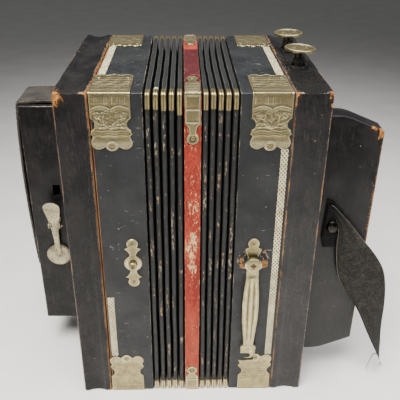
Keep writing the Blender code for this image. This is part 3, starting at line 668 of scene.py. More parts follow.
class Build:
    """Points and faces of several solids that make one piece."""

    def __init__(self):
        self.verts = []
        self.faces = []
        self.values = {}

    def add(self, verts, faces, **values):
        start = len(self.verts)
        self.verts += [tuple(v) for v in verts]
        self.faces += [[i + start for i in face] for face in faces]
        for key, data in values.items():
            self.values.setdefault(key, [])
            self.values[key] += list(data)
        return self

    def grid(self, points, closed_u=False, closed_v=False, caps=(), **values):
        """A sheet of quads through points[i][j]."""
        rows, cols = len(points), len(points[0])
        faces = []
        for i in range(rows if closed_u else rows - 1):
            for j in range(cols if closed_v else cols - 1):
                n, m = (i + 1) % rows, (j + 1) % cols
                faces.append((i * cols + j, i * cols + m, n * cols + m, n * cols + j))
        if "start" in caps:
            faces.append(tuple(range(cols)))
        if "end" in caps:
            faces.append(tuple((rows - 1) * cols + j for j in reversed(range(cols))))
        return self.add([p for row in points for p in row], faces, **values)

    def turned(self, profile, axis, centre, sides=32, **values):
        """A solid of revolution: (radius, distance along the axis) pairs."""
        a = "xyz".index(axis)
        rows = []
        for radius, along in profile:
            row = []
            for k in range(sides):
                turn = 2 * math.pi * k / sides
                r = max(radius, 0.001)
                p = list(centre)
                p[a] += along
                p[(a + 1) % 3] += r * math.cos(turn)
                p[(a + 2) % 3] += r * math.sin(turn)
                row.append(p)
            rows.append(row)
        spread = {k: [v for v in data for _ in range(sides)] for k, data in values.items()}
        return self.grid(rows, closed_v=True, caps=("start", "end"), **spread)

    def tube(self, path, radius, sides=8, **values):
        """A round bar along a path. Its radius may be a function of the share of the path behind it."""
        rows = []
        path = [Vector(p) for p in path]
        for i, p in enumerate(path):
            ahead = (path[min(i + 1, len(path) - 1)] - path[max(i - 1, 0)]).normalized()
            side = ahead.cross(Vector((0.31, 0.93, 0.17))).normalized()
            up = side.cross(ahead)
            r = radius(i / (len(path) - 1)) if callable(radius) else radius
            angles = [2 * math.pi * k / sides for k in range(sides)]
            rows.append([p + side * (r * math.cos(t)) + up * (r * math.sin(t)) for t in angles])
        return self.grid(rows, closed_v=True, caps=("start", "end"), **values)

    def piece(self, name, material, body, slot=None, angle=35):
        """Makes the piece. A value that wasn't given for its last points goes on as it was."""
        for key in self.values:
            missing = len(self.verts) - len(self.values[key])
            self.values[key] += [self.values[key][-1] if missing else 0] * missing
        return piece(name, self.verts, self.faces, material, body, slot, angle, self.values)


def side_steps(fine=1.6, reach=16.0, coarse=7.0, length=160.0):
    """Distances along a straight side, closer together near both ends."""
    near = list(np.arange(0, reach, fine))
    middle = list(np.linspace(reach, length - reach, max(2, int((length - 2 * reach) / coarse))))
    return [v / length for v in near + middle + [length - v for v in reversed(near)]]


def ring_point(inset, radius, corner, turn):
    """A point on the rounded corner of the casing's outline, at a distance in from its outside."""
    r = max(radius - inset, 0.12)
    y = corner[0] * (FRONT - inset - r) + r * math.cos(turn)
    z = (TOP - inset - r if corner[1] > 0 else inset + r) + r * math.sin(turn)
    return y, z


CORNERS = ((1, 1), (-1, 1), (-1, -1), (1, -1))


def ring_path(inset, radius, bends=5, steps=None):
    """(y, z) points all round the casing's outline."""
    path = []
    for k, corner in enumerate(CORNERS):
        start = math.pi / 2 * k
        turns = [start + math.pi / 2 * i / bends for i in range(bends + 1)]
        path += [ring_point(inset, radius, corner, t) for t in turns]
        y0, z0 = path[-1]
        y1, z1 = ring_point(inset, radius, CORNERS[(k + 1) % 4], start + math.pi / 2)
        upright = k % 2 == 1
        path += [(y0 * (1 - t) + y1 * t, z0 * (1 - t) + z1 * t) for t in (steps or STEPS)[upright][1:-1]]
    return path


# The steps along the casing's top or bottom, and along its front or back.
STEPS = (side_steps(length=160.0), side_steps(length=268.0))
FOLD_STEPS = (side_steps(2.2, 20, 5.0, 160.0), side_steps(2.2, 20, 6.0, 268.0))


def spread_out(x, y, z, out):
    """A point of the casing, moved away from its middle line by about out."""
    return x, y * (1 + out / FRONT), TOP / 2 + (z - TOP / 2) * (1 + out / (TOP / 2))


def ring(profile, radius=1.2, bends=5, wobble=None, steps=None, worn=None):
    """Builds a closed section of (x, inset) points, swept round the casing.

    wobble(x, y, z) is how far a point moves along X and outwards. worn is the wear of each section point,
    which is full at the casing's corners.
    """
    rows, wear = [], []
    for i, (x, inset) in enumerate(profile):
        row = []
        for y, z in ring_path(inset, radius, bends, steps):
            dx, out = wobble(x, y, z) if wobble else (0.0, 0.0)
            row.append(spread_out(x + dx, y, z, out))
            off_corner = math.hypot(max(0, FRONT - abs(y)), max(0, TOP / 2 - abs(z - TOP / 2)))
            wear.append(max(worn[i] if worn else 0.0, 1 - off_corner / 4.0))
        rows.append(row)
    return Build().grid(rows, closed_u=True, closed_v=True, wear=wear)


def solid(obj, cutters, bevel, segments=3):
    """Rounds a solid's edges, takes the cutters out of it, and leaves a plain mesh."""
    edges = obj.modifiers.new("edges", "BEVEL")
    edges.width = bevel * MM
    edges.segments = segments
    edges.limit_method = "ANGLE"
    edges.angle_limit = math.radians(40)
    for cutter in cutters:
        cut = obj.modifiers.new("cut", "BOOLEAN")
        cut.operation = "DIFFERENCE"
        cut.solver = "EXACT"
        cut.object = cutter
    bpy.context.view_layer.update()
    evaluated = obj.evaluated_get(bpy.context.evaluated_depsgraph_get())
    mesh = bpy.data.meshes.new_from_object(evaluated)
    obj.modifiers.clear()
    obj.data = mesh
    mesh.set_sharp_from_angle(angle=math.radians(30))
    for cutter in cutters:
        bpy.data.objects.remove(cutter, do_unlink=True)


def slab(low, high):
    """A box's points and faces."""
    (x0, y0, z0), (x1, y1, z1) = low, high
    verts = [(x, y, z) for x in (x0, x1) for y in (y0, y1) for z in (z0, z1)]
    return verts, [(0, 1, 3, 2), (4, 6, 7, 5), (0, 4, 5, 1), (2, 3, 7, 6), (0, 2, 6, 4), (1, 5, 7, 3)]


# ---------------------------------------------------------------- pressed metal


def arc(u, v, radius, start, end, steps=8):
    """Points on an arc, from one angle to another in degrees."""
    turns = [math.radians(start + (end - start) * k / steps) for k in range(steps + 1)]
    return [(u + radius * math.cos(t), v + radius * math.sin(t)) for t in turns]


def line_distance(u, v, line, closed=False):
    """Each point's distance from a line of points, and the nearest place on it."""
    a = np.array(line, float)
    b = np.roll(a, -1, axis=0) if closed else a[1:]
    a = a if closed else a[:-1]
    points = np.stack((u, v), -1)[:, None, :]
    along = b - a
    size = np.maximum((along ** 2).sum(-1), 1e-12)
    t = np.clip(((points - a) * along).sum(-1) / size, 0, 1)
    place = a + t[..., None] * along
    gap = np.sqrt(((points - place) ** 2).sum(-1))
    best = gap.argmin(1)
    rows = np.arange(len(best))
    return gap[rows, best], place[rows, best]


def inside(u, v, outline):
    """Whether each point is inside an outline."""
    a = np.array(outline, float)
    b = np.roll(a, -1, axis=0)
    found = np.zeros(len(u), bool)
    for (u0, v0), (u1, v1) in zip(a, b):
        if v0 != v1:
            crosses = (v0 > v) != (v1 > v)
            found ^= crosses & (u < (u1 - u0) * (v - v0) / (v1 - v0) + u0)
    return found


def mirrored(points):
    """The other half of a symmetrical line."""
    return [(-u, v) for u, v in reversed(points)]


def grit(u, v, size, seed):
    """Smooth noise over a sheet."""
    return np.array([wave(a, b, 0, size, seed) for a, b in zip(u, v)])


def ridge(gap, width):
    """1 along a line, and less with distance from it."""
    return np.exp(-(gap / width) ** 2)


def window(value, start, end, soft=0.4):
    """1 between start and end."""
    rise = np.clip((value - start) / soft, 0, 1)
    fall = np.clip((end - value) / soft, 0, 1)
    return np.minimum(rise, fall)


def pressed(build, outline, place, relief=None, form=None, holes=(), step=0.6, thick=0.5, rim=0.28):
    """Adds pressed sheet metal to a build.

    outline is in the sheet's own (u, v). place(u, v, height) puts a point of it in the instrument.
    relief(u, v) gives the height of the pressed pattern and a base tone for its flat parts, grimy when low
    and with a painted highlight when high. form(u, v) is the sheet's own larger shape. holes are outlines
    too.
    """
    a = np.array(outline, float)
    low, high = a.min(0) - step, a.max(0) + step
    us = np.arange(low[0], high[0] + step, step)
    vs = np.arange(low[1], high[1] + step, step)
    grid_u, grid_v = np.meshgrid(us, vs, indexing="ij")
    mid_u, mid_v = (grid_u[:-1, :-1] + step / 2).ravel(), (grid_v[:-1, :-1] + step / 2).ravel()
    keep = inside(mid_u, mid_v, outline)
    for hole in holes:
        keep &= ~inside(mid_u, mid_v, hole)
    rows, cols = len(us), len(vs)
    keep = keep.reshape(rows - 1, cols - 1)
    cells = [(i, j) for i in range(rows - 1) for j in range(cols - 1) if keep[i, j]]
    quads = [(i * cols + j, (i + 1) * cols + j, (i + 1) * cols + j + 1, i * cols + j + 1) for i, j in cells]
    edges = dict.fromkeys(pair for quad in quads for pair in zip(quad, quad[1:] + quad[:1]))
    border = [(p, q) for p, q in edges if (q, p) not in edges]
    used = sorted({i for quad in quads for i in quad})
    index = {old: new for new, old in enumerate(used)}
    u, v = grid_u.ravel()[used].copy(), grid_v.ravel()[used].copy()
    rims = [outline, *holes]
    on_rim = np.array(sorted({index[i] for pair in border for i in pair}))
    gaps, spots = zip(*(line_distance(u[on_rim], v[on_rim], line, True) for line in rims))
    snapped = np.array(spots)[np.argmin(gaps, axis=0), np.arange(len(on_rim))]
    u[on_rim], v[on_rim] = snapped[:, 0], snapped[:, 1]
    gap = np.min([line_distance(u, v, line, True)[0] for line in rims], axis=0)
    height = rim * ridge(gap - 0.55, 0.5) - 0.35 * ridge(gap, 0.28)
    pattern, grime_and_highlight_base = relief(u, v) if relief else (np.zeros(len(u)), 0.5)
    height = height + pattern * np.clip((gap - 0.9) / 0.8, 0, 1)
    # The tone that the finish reads: grime where it is low, and a painted highlight where the sheet is
    # raised.
    look = np.clip(grime_and_highlight_base + height / 0.5, 0, 1)
    if form:
        height = height + form(u, v)
    top = [place(*p) for p in zip(u, v, height + thick)]
    under = [place(*p) for p in zip(u, v, np.zeros(len(u)))]
    count = len(used)
    faces = [[index[i] for i in quad] for quad in quads]
    faces += [[index[i] + count for i in reversed(quad)] for quad in quads]
    faces += [[index[q], index[p], index[p] + count, index[q] + count] for p, q in border]
    return build.add(top + under, faces, relief=list(look) + [0.3] * count)


def fold_place(x, side_y, side_z, bend=0.9, dent=0.0, seed=0.0, proud=0.0):
    """Wraps a sheet round one long edge of the casing: v is below the edge when it is under 0."""
    quarter = bend * math.pi / 2

    def place(u, v, height):
        s = v + quarter / 2
        h = height + proud
        if dent:
            h += dent * wave(u, v, 0, 9.0, seed) + dent * 0.5 * wave(u, v, 0, 3.6, seed + 3)
        if s <= 0:
            out, down = h, bend - s
        elif s >= quarter:
            out, down = -(bend + s - quarter), -h
        else:
            turn = s / bend
            out = (bend + h) * math.cos(turn) - bend
            down = bend - (bend + h) * math.sin(turn)
        z = TOP - down if side_z > 0 else down
        return x + u, side_y * (FRONT + out), z

    return place


def spiral(u, v, radius, start, turns, grow=0.0, steps=26):
    """A scroll that winds in to its middle."""
    line = []
    for k in range(steps + 1):
        t = k / steps
        r = radius * (1 - 0.86 * t) + grow * t
        angle = math.radians(start) + 2 * math.pi * turns * t
        line.append((u + r * math.cos(angle), v + r * math.sin(angle)))
    return line


def leaf_line(u, v, length, turn, bow, steps=10):
    """A curved vein from its root."""
    line = []
    for k in range(steps + 1):
        t = k / steps
        angle = math.radians(turn) + bow * t
        line.append((u + length * t * math.cos(angle), v + length * t * math.sin(angle)))
    return line


def corner_outline(width, front, top):
    """A corner plate laid flat: lobes and points on the front leaf, and a scalloped end on the top one."""
    lobe = 5.4
    side = [(0, 0), (0.1, 0.40 * front)] + arc(-1.8, 0.53 * front, 4.9, -66, 62, 9)
    side += [(-0.6, 0.70 * front), (1.2, 0.735 * front)]
    side += arc(lobe - 0.4, 0.845 * front, lobe, 205, 75, 10)
    middle = arc(width / 2, front - 5.0, 5.0, 160, 20, 9)
    half = side + middle[:5]
    mirrored = [(width - u, v) for u, v in reversed(side + middle[:4])]
    down = [(u, -v) for u, v in half + mirrored]
    back = [(width, top - 3.0)] + arc(width * 0.82, top - 5.0, 4.4, 20, 150, 6)
    back += arc(width / 2, top - 3.4, 3.4, 20, 160, 8) + arc(width * 0.18, top - 5.0, 4.4, 30, 160, 6)
    return down[:-1] + [(width, 0)] + back + [(0, top - 3.0)]


def corner_relief(width, front, seed, plain=False):
    """The pressed pattern: reeding, swags, scrolls and leaves on the front, and banded lines on the top.

    A plain plate has only broken lines.
    """
    c = width / 2
    lines = []
    for s in (-1, 1):
        swag = [(c + s * (0.6 + 12.6 * t), -11.6 + 2.4 * math.sin(math.pi * t) * (1 - 0.3 * t))
                for t in np.linspace(0, 1, 15)]
        lines += [(swag, 0.34, 0.5), ([(u, v - 1.5) for u, v in swag], 0.2, 0.4)]
        lines.append((spiral(c + s * 9.4, -16.6, 2.7, 90 - s * 60, s * 1.5), 0.26, 0.42))
        lines.append((spiral(c + s * 8.9, -23.4, 2.2, -90 + s * 40, -s * 1.4), 0.26, 0.42))
        lines.append((leaf_line(c + s * 0.6, -26.0, 11.0, 90 - s * 72, s * 0.9), 0.28, 0.42))
        for turn, length in ((14, 11.5), (33, 9.5), (52, 8.0)):
            lines.append((leaf_line(c, -26.5, length, 90 - s * turn, -s * 0.55), 0.24, 0.45))
        for k in range(5):
            root = (c + s * (4.0 + 1.7 * k), -14.4 - 2.3 * k)
            lines.append((leaf_line(*root, 2.6, 90 - s * (20 + 24 * k), s * 0.9, 5), 0.2, 0.4))
    lines.append((leaf_line(c, -26.5, 12.5, 90, 0), 0.22, 0.4))

    def relief(u, v):
        d = -v
        bars = np.clip(0.5 + 0.9 * np.cos(2 * np.pi * (u - c) / 1.75), 0, 1)
        tone = np.array([wave(a, 0, 0, 1.9, seed) for a in u])
        height = 0.24 * bars * (0.7 + 0.8 * tone) * window(d, 2.4, 8.2)
        for line, tall, wide in lines:
            height = np.maximum(height, tall * ridge(line_distance(u, v, line)[0], wide))
        stipple = grit(u, v, 1.3, seed + 5)
        height = height + 0.15 * stipple * window(d, 11.5, 27.0, 1.5)
        for level, tall in ((27.8, 0.22), (29.6, 0.16), (31.4, 0.2)):
            wander = 0.35 * np.sin(u * 0.7 + seed)
            height = height + tall * ridge(d - level - wander, 0.5) * window(u, 3.0, width - 3.0, 1.5)
        height = height + 0.12 * window(d, 33.5, front, 3.0) + 0.04 * stipple
        screw = np.hypot(u - c, v + front - 4.6)
        height = height - 0.4 * ridge(screw, 1.8) + 0.16 * ridge(screw - 3.1, 0.45)
        for level in (3.4, 6.4, 9.6, 13.6, 17.4, 21.2, 25.4, 30.0, 34.5):
            wander = 0.75 * np.sin(u * (0.36 + 0.01 * level) + level + seed) * (level > 8)
            height = height + (0.24 + 0.06 * math.sin(level * 3)) * ridge(v - level - wander, 0.5)
        grime_and_highlight_base = 0.52 - 0.14 * window(d, 1.8, 32.5, 1.0) - 0.1 * window(v, 1.5, 37.0, 1.0)
        return height, grime_and_highlight_base

    def plain_relief(u, v):
        d = -v
        height = np.zeros(len(u))
        for level in np.arange(4.0, 29.0, 2.7):
            broken = np.array([wave(a, level, 0, 4.5, seed) for a in u])
            height = height + 0.22 * ridge(d - level, 0.5) * np.clip(0.7 + 1.8 * broken, 0.15, 1)
        screw = np.hypot(u - c, v + front - 4.6)
        height = height - 0.4 * ridge(screw, 1.8) + 0.16 * ridge(screw - 3.1, 0.45)
        stipple = grit(u, v, 1.4, seed + 5)
        height = height + 0.08 * stipple + 0.1 * window(d, 31, front, 3)
        return height, 0.5 - 0.13 * window(d, 2.5, 30.0, 1.0)

    return plain_relief if plain else relief


def screw_head(build, centre, normal, radius=1.9, turn=0.5, rise=0.5):
    """A slotted round-headed screw."""
    normal = Vector(normal).normalized()
    side = normal.cross(Vector((0.2, 0.3, 0.93))).normalized()
    other = normal.cross(side)
    slot = side * math.cos(turn) + other * math.sin(turn)
    rows = []
    for r, h in ((1.0, -0.6), (1.0, 0.15), (0.88, 0.6), (0.62, 0.88), (0.3, 1.0), (0.02, 1.02)):
        row = []
        for k in range(28):
            a = 2 * math.pi * k / 28
            p = (side * math.cos(a) + other * math.sin(a)) * radius * r
            across = abs(p.dot(slot.cross(normal)))
            dip = 0.55 * max(0.0, 1 - (across / (radius * 0.2)) ** 4) if h > 0.3 else 0.0
            row.append(Vector(centre) + p + normal * (h * rise * radius - dip * rise * radius))
        rows.append(row)
    # The head's tone: a painted highlight round its shoulder, darker on its sides and top.
    looks = [look for look in (0.1, 0.12, 0.5, 0.45, 0.22, 0.2) for _ in range(28)]
    return build.grid(rows, closed_v=True, caps=("start", "end"), relief=looks)


# ---------------------------------------------------------------- finishes

METAL = nickel("nickel_silver")
METAL_SPOTTED = nickel("nickel_spotted", (0.56, 0.50, 0.34), 0.38, plain=True, tarnish=0.36, rust=0.8)
METAL_BRUSHED = nickel("nickel_brushed", (0.50, 0.435, 0.24), 0.30, "Z")
METAL_CLIP = nickel("nickel_clip", (0.56, 0.45, 0.19), 0.31)
METAL_DARK = simple("blackened_steel", (0.014, 0.013, 0.012), (0.050, 0.045, 0.038), 0.3, metallic=1.0)
CASE_CHIPS = {
    "bass": ((-97.6, -86, 279, 4.9), (-97.0, -86, 272, 2.2), (-97.6, -84, 281, 4.0),
             (-74.2, -86, 279.5, 1.2)),
    "treble": ((71.2, -86, 279.6, 2.5), (71.0, -86, 272, 1.4), (71.0, -86.4, 257, 1.2),
               (80, -86.4, 280.8, 1.5),
               (97.4, -86.2, 279.8, 2.9), (97.7, -86.2, 271, 1.5), (71.0, -86.3, 176, 1.2),
               (71.1, -86.3, 150, 1.3),
               (71, -86.3, 128, 1.3), (71.2, 20, 280.6, 1.3), (71.0, 40, 280.6, 1.2)),
}
CASE_SHINE = {"bass": 0.22, "treble": 0.36}
CASE_PAINT = {
    s: ebony(f"ebonised_{s}_case", chips=CASE_CHIPS[s], attribute="wear", gloss=0.2, shine=CASE_SHINE[s])
    for s in SIDE
}
PANEL_PAINT = ebony("ebonised_panel", gloss=0.36)
BOX_PAINT = ebony("ebonised_box", box=node_box("bass_box"), gloss=0.2, wear=0.75, shine=0.2)
FRAME_PAINT = leatherette(
    "leatherette",
    rings=((47.8, 141.5, 7.4, 12.2),),
    chips=((57.6, -86, 137.6, 2.9), (39.4, -86, 136.0, 1.9), (38.6, -86, 142.0, 1.3),
           (57.2, -86, 149.5, 1.1)),
    scuffs=(((-58, -86, 190), (-48, -86, 185), 0.35), ((-52, -86, 187.5), (-44.5, -86, 183.5), 0.45),
            ((-50, -86, 183), (-46, -86, 181), 0.3), ((-60, -86, 172), (-57, -86, 171), 0.7),
            ((-55.5, -86, 172.5), (-51.8, -86, 174.6), 0.6), ((-58.5, -86, 159), (-58, -86, 152), 0.55),
            ((-64.5, -86, 155), (-62, -86, 153.6), 0.9), ((40.5, -86, 199), (56.5, -86, 204.5), 0.34),
            ((40.2, -86, 176), (40.6, -86, 163), 0.38), ((52.5, -86, 187), (56, -86, 190.5), 0.5),
            ((-42.5, -86, 60), (-38, -86, 63), 0.4), ((44, -86, 96), (45, -86, 84), 0.25)),
)
FOLD_PAINT = fold_cloth("bellows_cloth")
RED_PAINT = red_paper("red_paper")
BONE_STRIP = patterned_bone()
WOOD = bare_wood("bare_wood")
EDGE_WOOD = bare_wood("edge_wood", tint=0.9)
LEATHER = worn_leather("worn_leather")
WEAVE = strap_weave("strap_weave")
BONE = simple("bone", (0.62, 0.56, 0.42), (0.80, 0.75, 0.62), 0.32, 2.0, 0.05)
STEEL = simple("steel_wire", (0.20, 0.19, 0.18), (0.46, 0.45, 0.43), 0.36, metallic=1.0)
PAD = simple("pad_leather", (0.36, 0.29, 0.20), (0.52, 0.44, 0.33), 0.8)
LEATHER_DARK = simple(
    "dark_leather", (0.003, 0.0028, 0.0028), (0.013, 0.0115, 0.0105), 0.5, 1.1, 0.18, shine=0.08)
STEM_PAINT = simple("turned_ebony", (0.008, 0.007, 0.007), (0.028, 0.024, 0.022), 0.3, 1.2, 0.08)
DARK = simple("inner_dark", (0.006, 0.005, 0.005), (0.02, 0.016, 0.014), 0.8)
THREAD = simple("thread", (0.05, 0.046, 0.04), (0.18, 0.165, 0.14), 0.85, 0.4)
JOINT = simple("joint_wood", (0.012, 0.006, 0.003), (0.085, 0.035, 0.012), 0.75, 2.5, 0.3)


# ---------------------------------------------------------------- casing


def chipped(chips, x, y, z):
    """How far a chip has taken the surface in at a point."""
    deep = 0.0
    for cx, cy, cz, radius in chips:
        near = math.dist((x, y, z), (cx, cy, cz)) / radius
        ragged = near + 0.35 * wave(x, y, z, 2.2)
        deep = max(deep, min(1.0, max(0.0, 1.15 - ragged)) * min(radius, 5.0) * 0.24)
    return deep


def moulded_case(side):
    """A box end's mitred frame: two rounded beads with a shallow cove between."""
    out_x, in_x = CASE_X[side] if side == "bass" else CASE_X[side][::-1]
    step = (in_x - out_x) / 24
    section = [(0.0, 1.5, 0.3), (0.15, 0.7, 0.75), (0.55, 0.22, 1.0), (1.2, 0.02, 0.7), (2.4, 0.0, 0.15)]
    section += [(3.9, 0.0, 0.2), (4.6, 0.12, 0.35), (5.2, 0.5, 0.1), (6.0, 0.95, 0)]
    section += [(t, 0.95 + 0.75 * math.sin(math.pi * (t - 6) / 12), 0) for t in (8, 10, 12, 14, 16, 18)]
    section += [(18.8, 0.5, 0.1), (19.4, 0.12, 0.35), (20.1, 0.0, 0.2), (22.4, 0.0, 0.2), (23.3, 0.06, 0.8)]
    section += [(23.8, 0.35, 1.0), (24.0, 0.9, 0.7)]
    profile = [(out_x + step * t, inset) for t, inset, _ in section] + [(in_x, 9.0), (out_x, 9.0)]
    worn = [w for _, _, w in section] + [0.0, 0.0]
    chips = CASE_CHIPS[side]

    def wobble(x, y, z):
        edge = 1.0 if min(abs(x - out_x), abs(x - in_x)) < 1.5 else 0.3
        out = -0.22 * edge * max(0.0, wave(x, y, z, 5.5, 2.0) - 0.1)
        return 0.0, out - chipped(chips, x, y, z)

    build = ring(profile, 1.4, 5, wobble, worn=worn)
    obj = build.piece(f"{side}_moulded_case", CASE_PAINT[side], f"{side}_side", "ebonised_wood")
    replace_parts(obj, f"{side}_case")
    return obj


def bellows_frame(side):
    """A covered frame, with rounded edges and a slightly uneven surface under its cloth."""
    low_x, high_x = FRAME_X[side]
    mouth = high_x if side == "bass" else low_x
    case = low_x if side == "bass" else high_x
    inward = math.copysign(1, mouth - case)
    profile = [(case, 8.0), (case, 3.2), (case, 1.1), (case + inward * 0.12, 0.75),
               (case + inward * 0.5, COVER)]
    worn = [0, 0, 0.5, 0.9, 0.45]
    for t in np.linspace(0.04, 0.96, 12):
        profile.append((case + (mouth - case) * t, COVER))
        worn.append(0.0)
    profile += [(mouth - inward * 0.9, 0.62), (mouth - inward * 0.4, 0.72), (mouth - inward * 0.1, 1.05)]
    profile += [(mouth, 1.7), (mouth, 8.0)]
    worn += [0.5, 0.98, 0.9, 0.3, 0]

    def wobble(x, y, z):
        return 0.0, 0.10 * wave(x, y, z, 22, 4) + 0.05 * wave(x, y, z, 6, 1)

    obj = ring(profile, 1.6, 5, wobble, worn=worn).piece(
        f"{side}_covered_frame", FRAME_PAINT, f"{side}_side", "leatherette")
    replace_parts(obj, f"{side}_bellows_frame")
    if side == "bass":
        start = case - LIP_REACH
        lip = ring([(start, 7.6), (start, 3.0), (case - 0.05, 3.0), (case - 0.05, 7.6)], 1.2, 3)
        lip.piece("bass_joint_lip", JOINT, "bass_side", "ebonised_wood")


def joint_edges():
    """The raw wood that shows along both sides of the bass joint, and a thin line of it at the treble one."""
    case, frame = CASE_X["bass"][1], FRAME_X["bass"][0]
    for name, x, width, body in (
        ("bass_joint_edge_outer", case + 0.02, 0.5, "bass_side"),
        ("bass_joint_edge_inner", frame - 0.48, 0.46, "bass_side"),
        ("treble_joint_edge", FRAME_X["treble"][1] + 0.02, 0.26, "treble_side"),
    ):
        profile = [(x, 2.9), (x, 1.0), (x + width * 0.2, 0.8)]
        profile += [(x + width * 0.8, 0.8), (x + width, 1.0), (x + width, 2.9)]

        def wobble(x, y, z):
            return 0.0, -0.3 * max(0.0, wave(x, y, z, 7, 3))

        ring(profile, 1.2, 4, wobble).piece(name, EDGE_WOOD, body, "bare_wood")


STRIP_THICK = 0.28
# Each strip's face, its sides along X, and its ends along Z or Y.
EDGING = {
    "bass": (("front", -70.6, -65.2, 41.5, 105.0), ("top", -71.0, -65.4, -43.0, 42.0),
             ("back", -71.0, -65.4, 42.0, 238.0), ("bottom", -71.0, -65.4, -43.0, 42.0)),
    "treble": (("front", 63.4, 68.8, 41.5, 238.0), ("top", 62.8, 68.6, -43.0, 42.0),
               ("back", 63.0, 68.6, 42.0, 238.0), ("bottom", 63.0, 68.6, -43.0, 42.0)),
}


def strip(build, face, x0, x1, start, end, seed):
    """A thin edging strip on one face of a covered frame, from start to end along it."""
    steps = max(4, int(abs(end - start) / 3))
    rows, lay = [], []
    section = ((0, 0), (0, 0.75), (0.06, 1), (0.5, 1), (0.94, 1), (1, 0.75), (1, 0))
    for k in range(steps + 1):
        s = start + (end - start) * k / steps
        ragged = 0.18 * wave(s, x0, 0, 3.0, seed)
        row = []
        for across, up in section:
            x = x0 + (x1 - x0) * across + ragged * (0.6 if across < 0.5 else -0.6)
            out = -COVER + 0.02 + STRIP_THICK * up
            places = {"front": (x, -(FRONT + out), s), "back": (x, FRONT + out, s),
                      "top": (x, s, TOP + out), "bottom": (x, s, -out)}
            row.append(places[face])
            lay.append(((x - x0) * MM, s * MM, seed))
        rows.append(row)
    build.grid(rows, caps=("start", "end"), strip=lay)


def edging_strips():
    seed = 0.0
    for side, strips in EDGING.items():
        build = Build()
        for face, x0, x1, start, end in strips:
            seed += 1.0
            strip(build, face, x0, x1, start, end, seed)
        build.piece(f"{side}_edging_strip", BONE_STRIP, f"{side}_side", "bone")


# The bottom front treble plate has lost this much of one lobe.
LOST_LOBE = 7.0


def corner_plates():
    """The eight pressed plates that wrap the box ends' corners, each with three screws."""
    for side in SIDE:
        for edge, side_z in (("top", 1), ("bottom", -1)):
            for face, side_y in (("front", -1), ("back", 1)):
                node = f"{side}_corner_{edge}_{face}"
                low, high = node_box(node)
                width = high[0] - low[0] - 1.4
                x = low[0] + 0.7
                front = (high[2] - low[2]) - 0.4
                top = (high[1] - low[1]) - 1.2
                seed = len(node) * 1.7 + side_y + side_z * 3 + low[0]
                outline = corner_outline(width, front, top)
                if node == "treble_corner_bottom_front":
                    outline = [(u, max(v, LOST_LOBE - front) if u < width * 0.44 else v) for u, v in outline]
                relief = corner_relief(width, front, seed, plain=side_z < 0)
                place = fold_place(x, side_y, side_z, 0.9, 0.10, seed, proud=-0.55)
                build = Build()
                pressed(build, outline, place, relief, step=0.6 if side_z < 0 else 0.45)
                spot = place(width / 2, -(front - 4.6), 0.35)
                screw_head(build, spot, (0, side_y, 0), 1.75, turn=seed % 3, rise=0.35)
                for u in (4.0, width - 4.0):
                    spot = place(u, top - 9.0, 0.35)
                    screw_head(build, spot, (0, 0, side_z), 1.4, turn=(seed + u) % 3, rise=0.4)
                obj = build.piece(f"{node}_plate", METAL, f"{side}_side", "nickel_silver", 40)
                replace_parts(obj, node)


# ---------------------------------------------------------------- middle frame and its clips


def middle_frame():
    """The red frame between the bellows' two halves."""
    x0, x1 = MIDDLE_X
    profile = [(x0, 8.0), (x0, 1.4), (x0 + 0.12, 0.85), (x0 + 0.5, COVER)]
    worn = [0, 0.5, 1.0, 0.7]
    for t in np.linspace(0.1, 0.9, 7):
        profile.append((x0 + (x1 - x0) * t, COVER))
        worn.append(0.0)
    profile += [(x1 - 0.5, COVER), (x1 - 0.12, 0.85), (x1, 1.4), (x1, 8.0)]
    worn += [0.7, 1.0, 0.5, 0]

    def wobble(x, y, z):
        return 0.0, 0.08 * wave(x, y, z, 9, 6)

    obj = ring(profile, 1.4, 5, wobble, worn=worn).piece("red_frame", RED_PAINT, "middle", "red_paper")
    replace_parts(obj, "middle_frame")


def clip_outline(length):
    """One leaf of a middle clip: a bar with a round lobe at its end."""
    half, lobe = 5.7, 4.6
    head = 0.595 * length
    side = [(half, 0), (half, head)] + arc(half + 2.1, head + 4.4, 4.9, 245, 180, 5)
    side += [(2.5, length - 2 * lobe + 0.6)]
    end = arc(0, length - lobe, lobe, -50, 230, 18)
    down = side + end + mirrored(side)
    return down


def clip_relief(length, seed, sign):
    def relief(u, v):
        d = np.abs(v)
        frame = np.minimum(5.7 - np.abs(u), np.minimum(d - 0.6, 0.595 * length - d))
        border = 0.3 * ridge(frame - 1.3, 0.42) * (frame > -0.5)
        bar = 0.34 * ridge(d - 12.2, 0.55) * (np.abs(u) < 5.2) if sign < 0 else 0
        grooves = np.zeros(len(u))
        if sign > 0:
            for level in (5.0, 8.5, 12.5, 16.0, 20.0):
                grooves = grooves + 0.28 * ridge(d - level, 0.5)
        screw = np.hypot(u, d - (length - 4.6))
        hole = -0.55 * ridge(screw, 1.9) + 0.14 * ridge(screw - 3.1, 0.4)
        fine = grit(u, v, 1.4, seed)
        return border + bar + grooves + hole + 0.06 * fine, 0.5 - 0.14 * (frame > 1.3)

    return relief


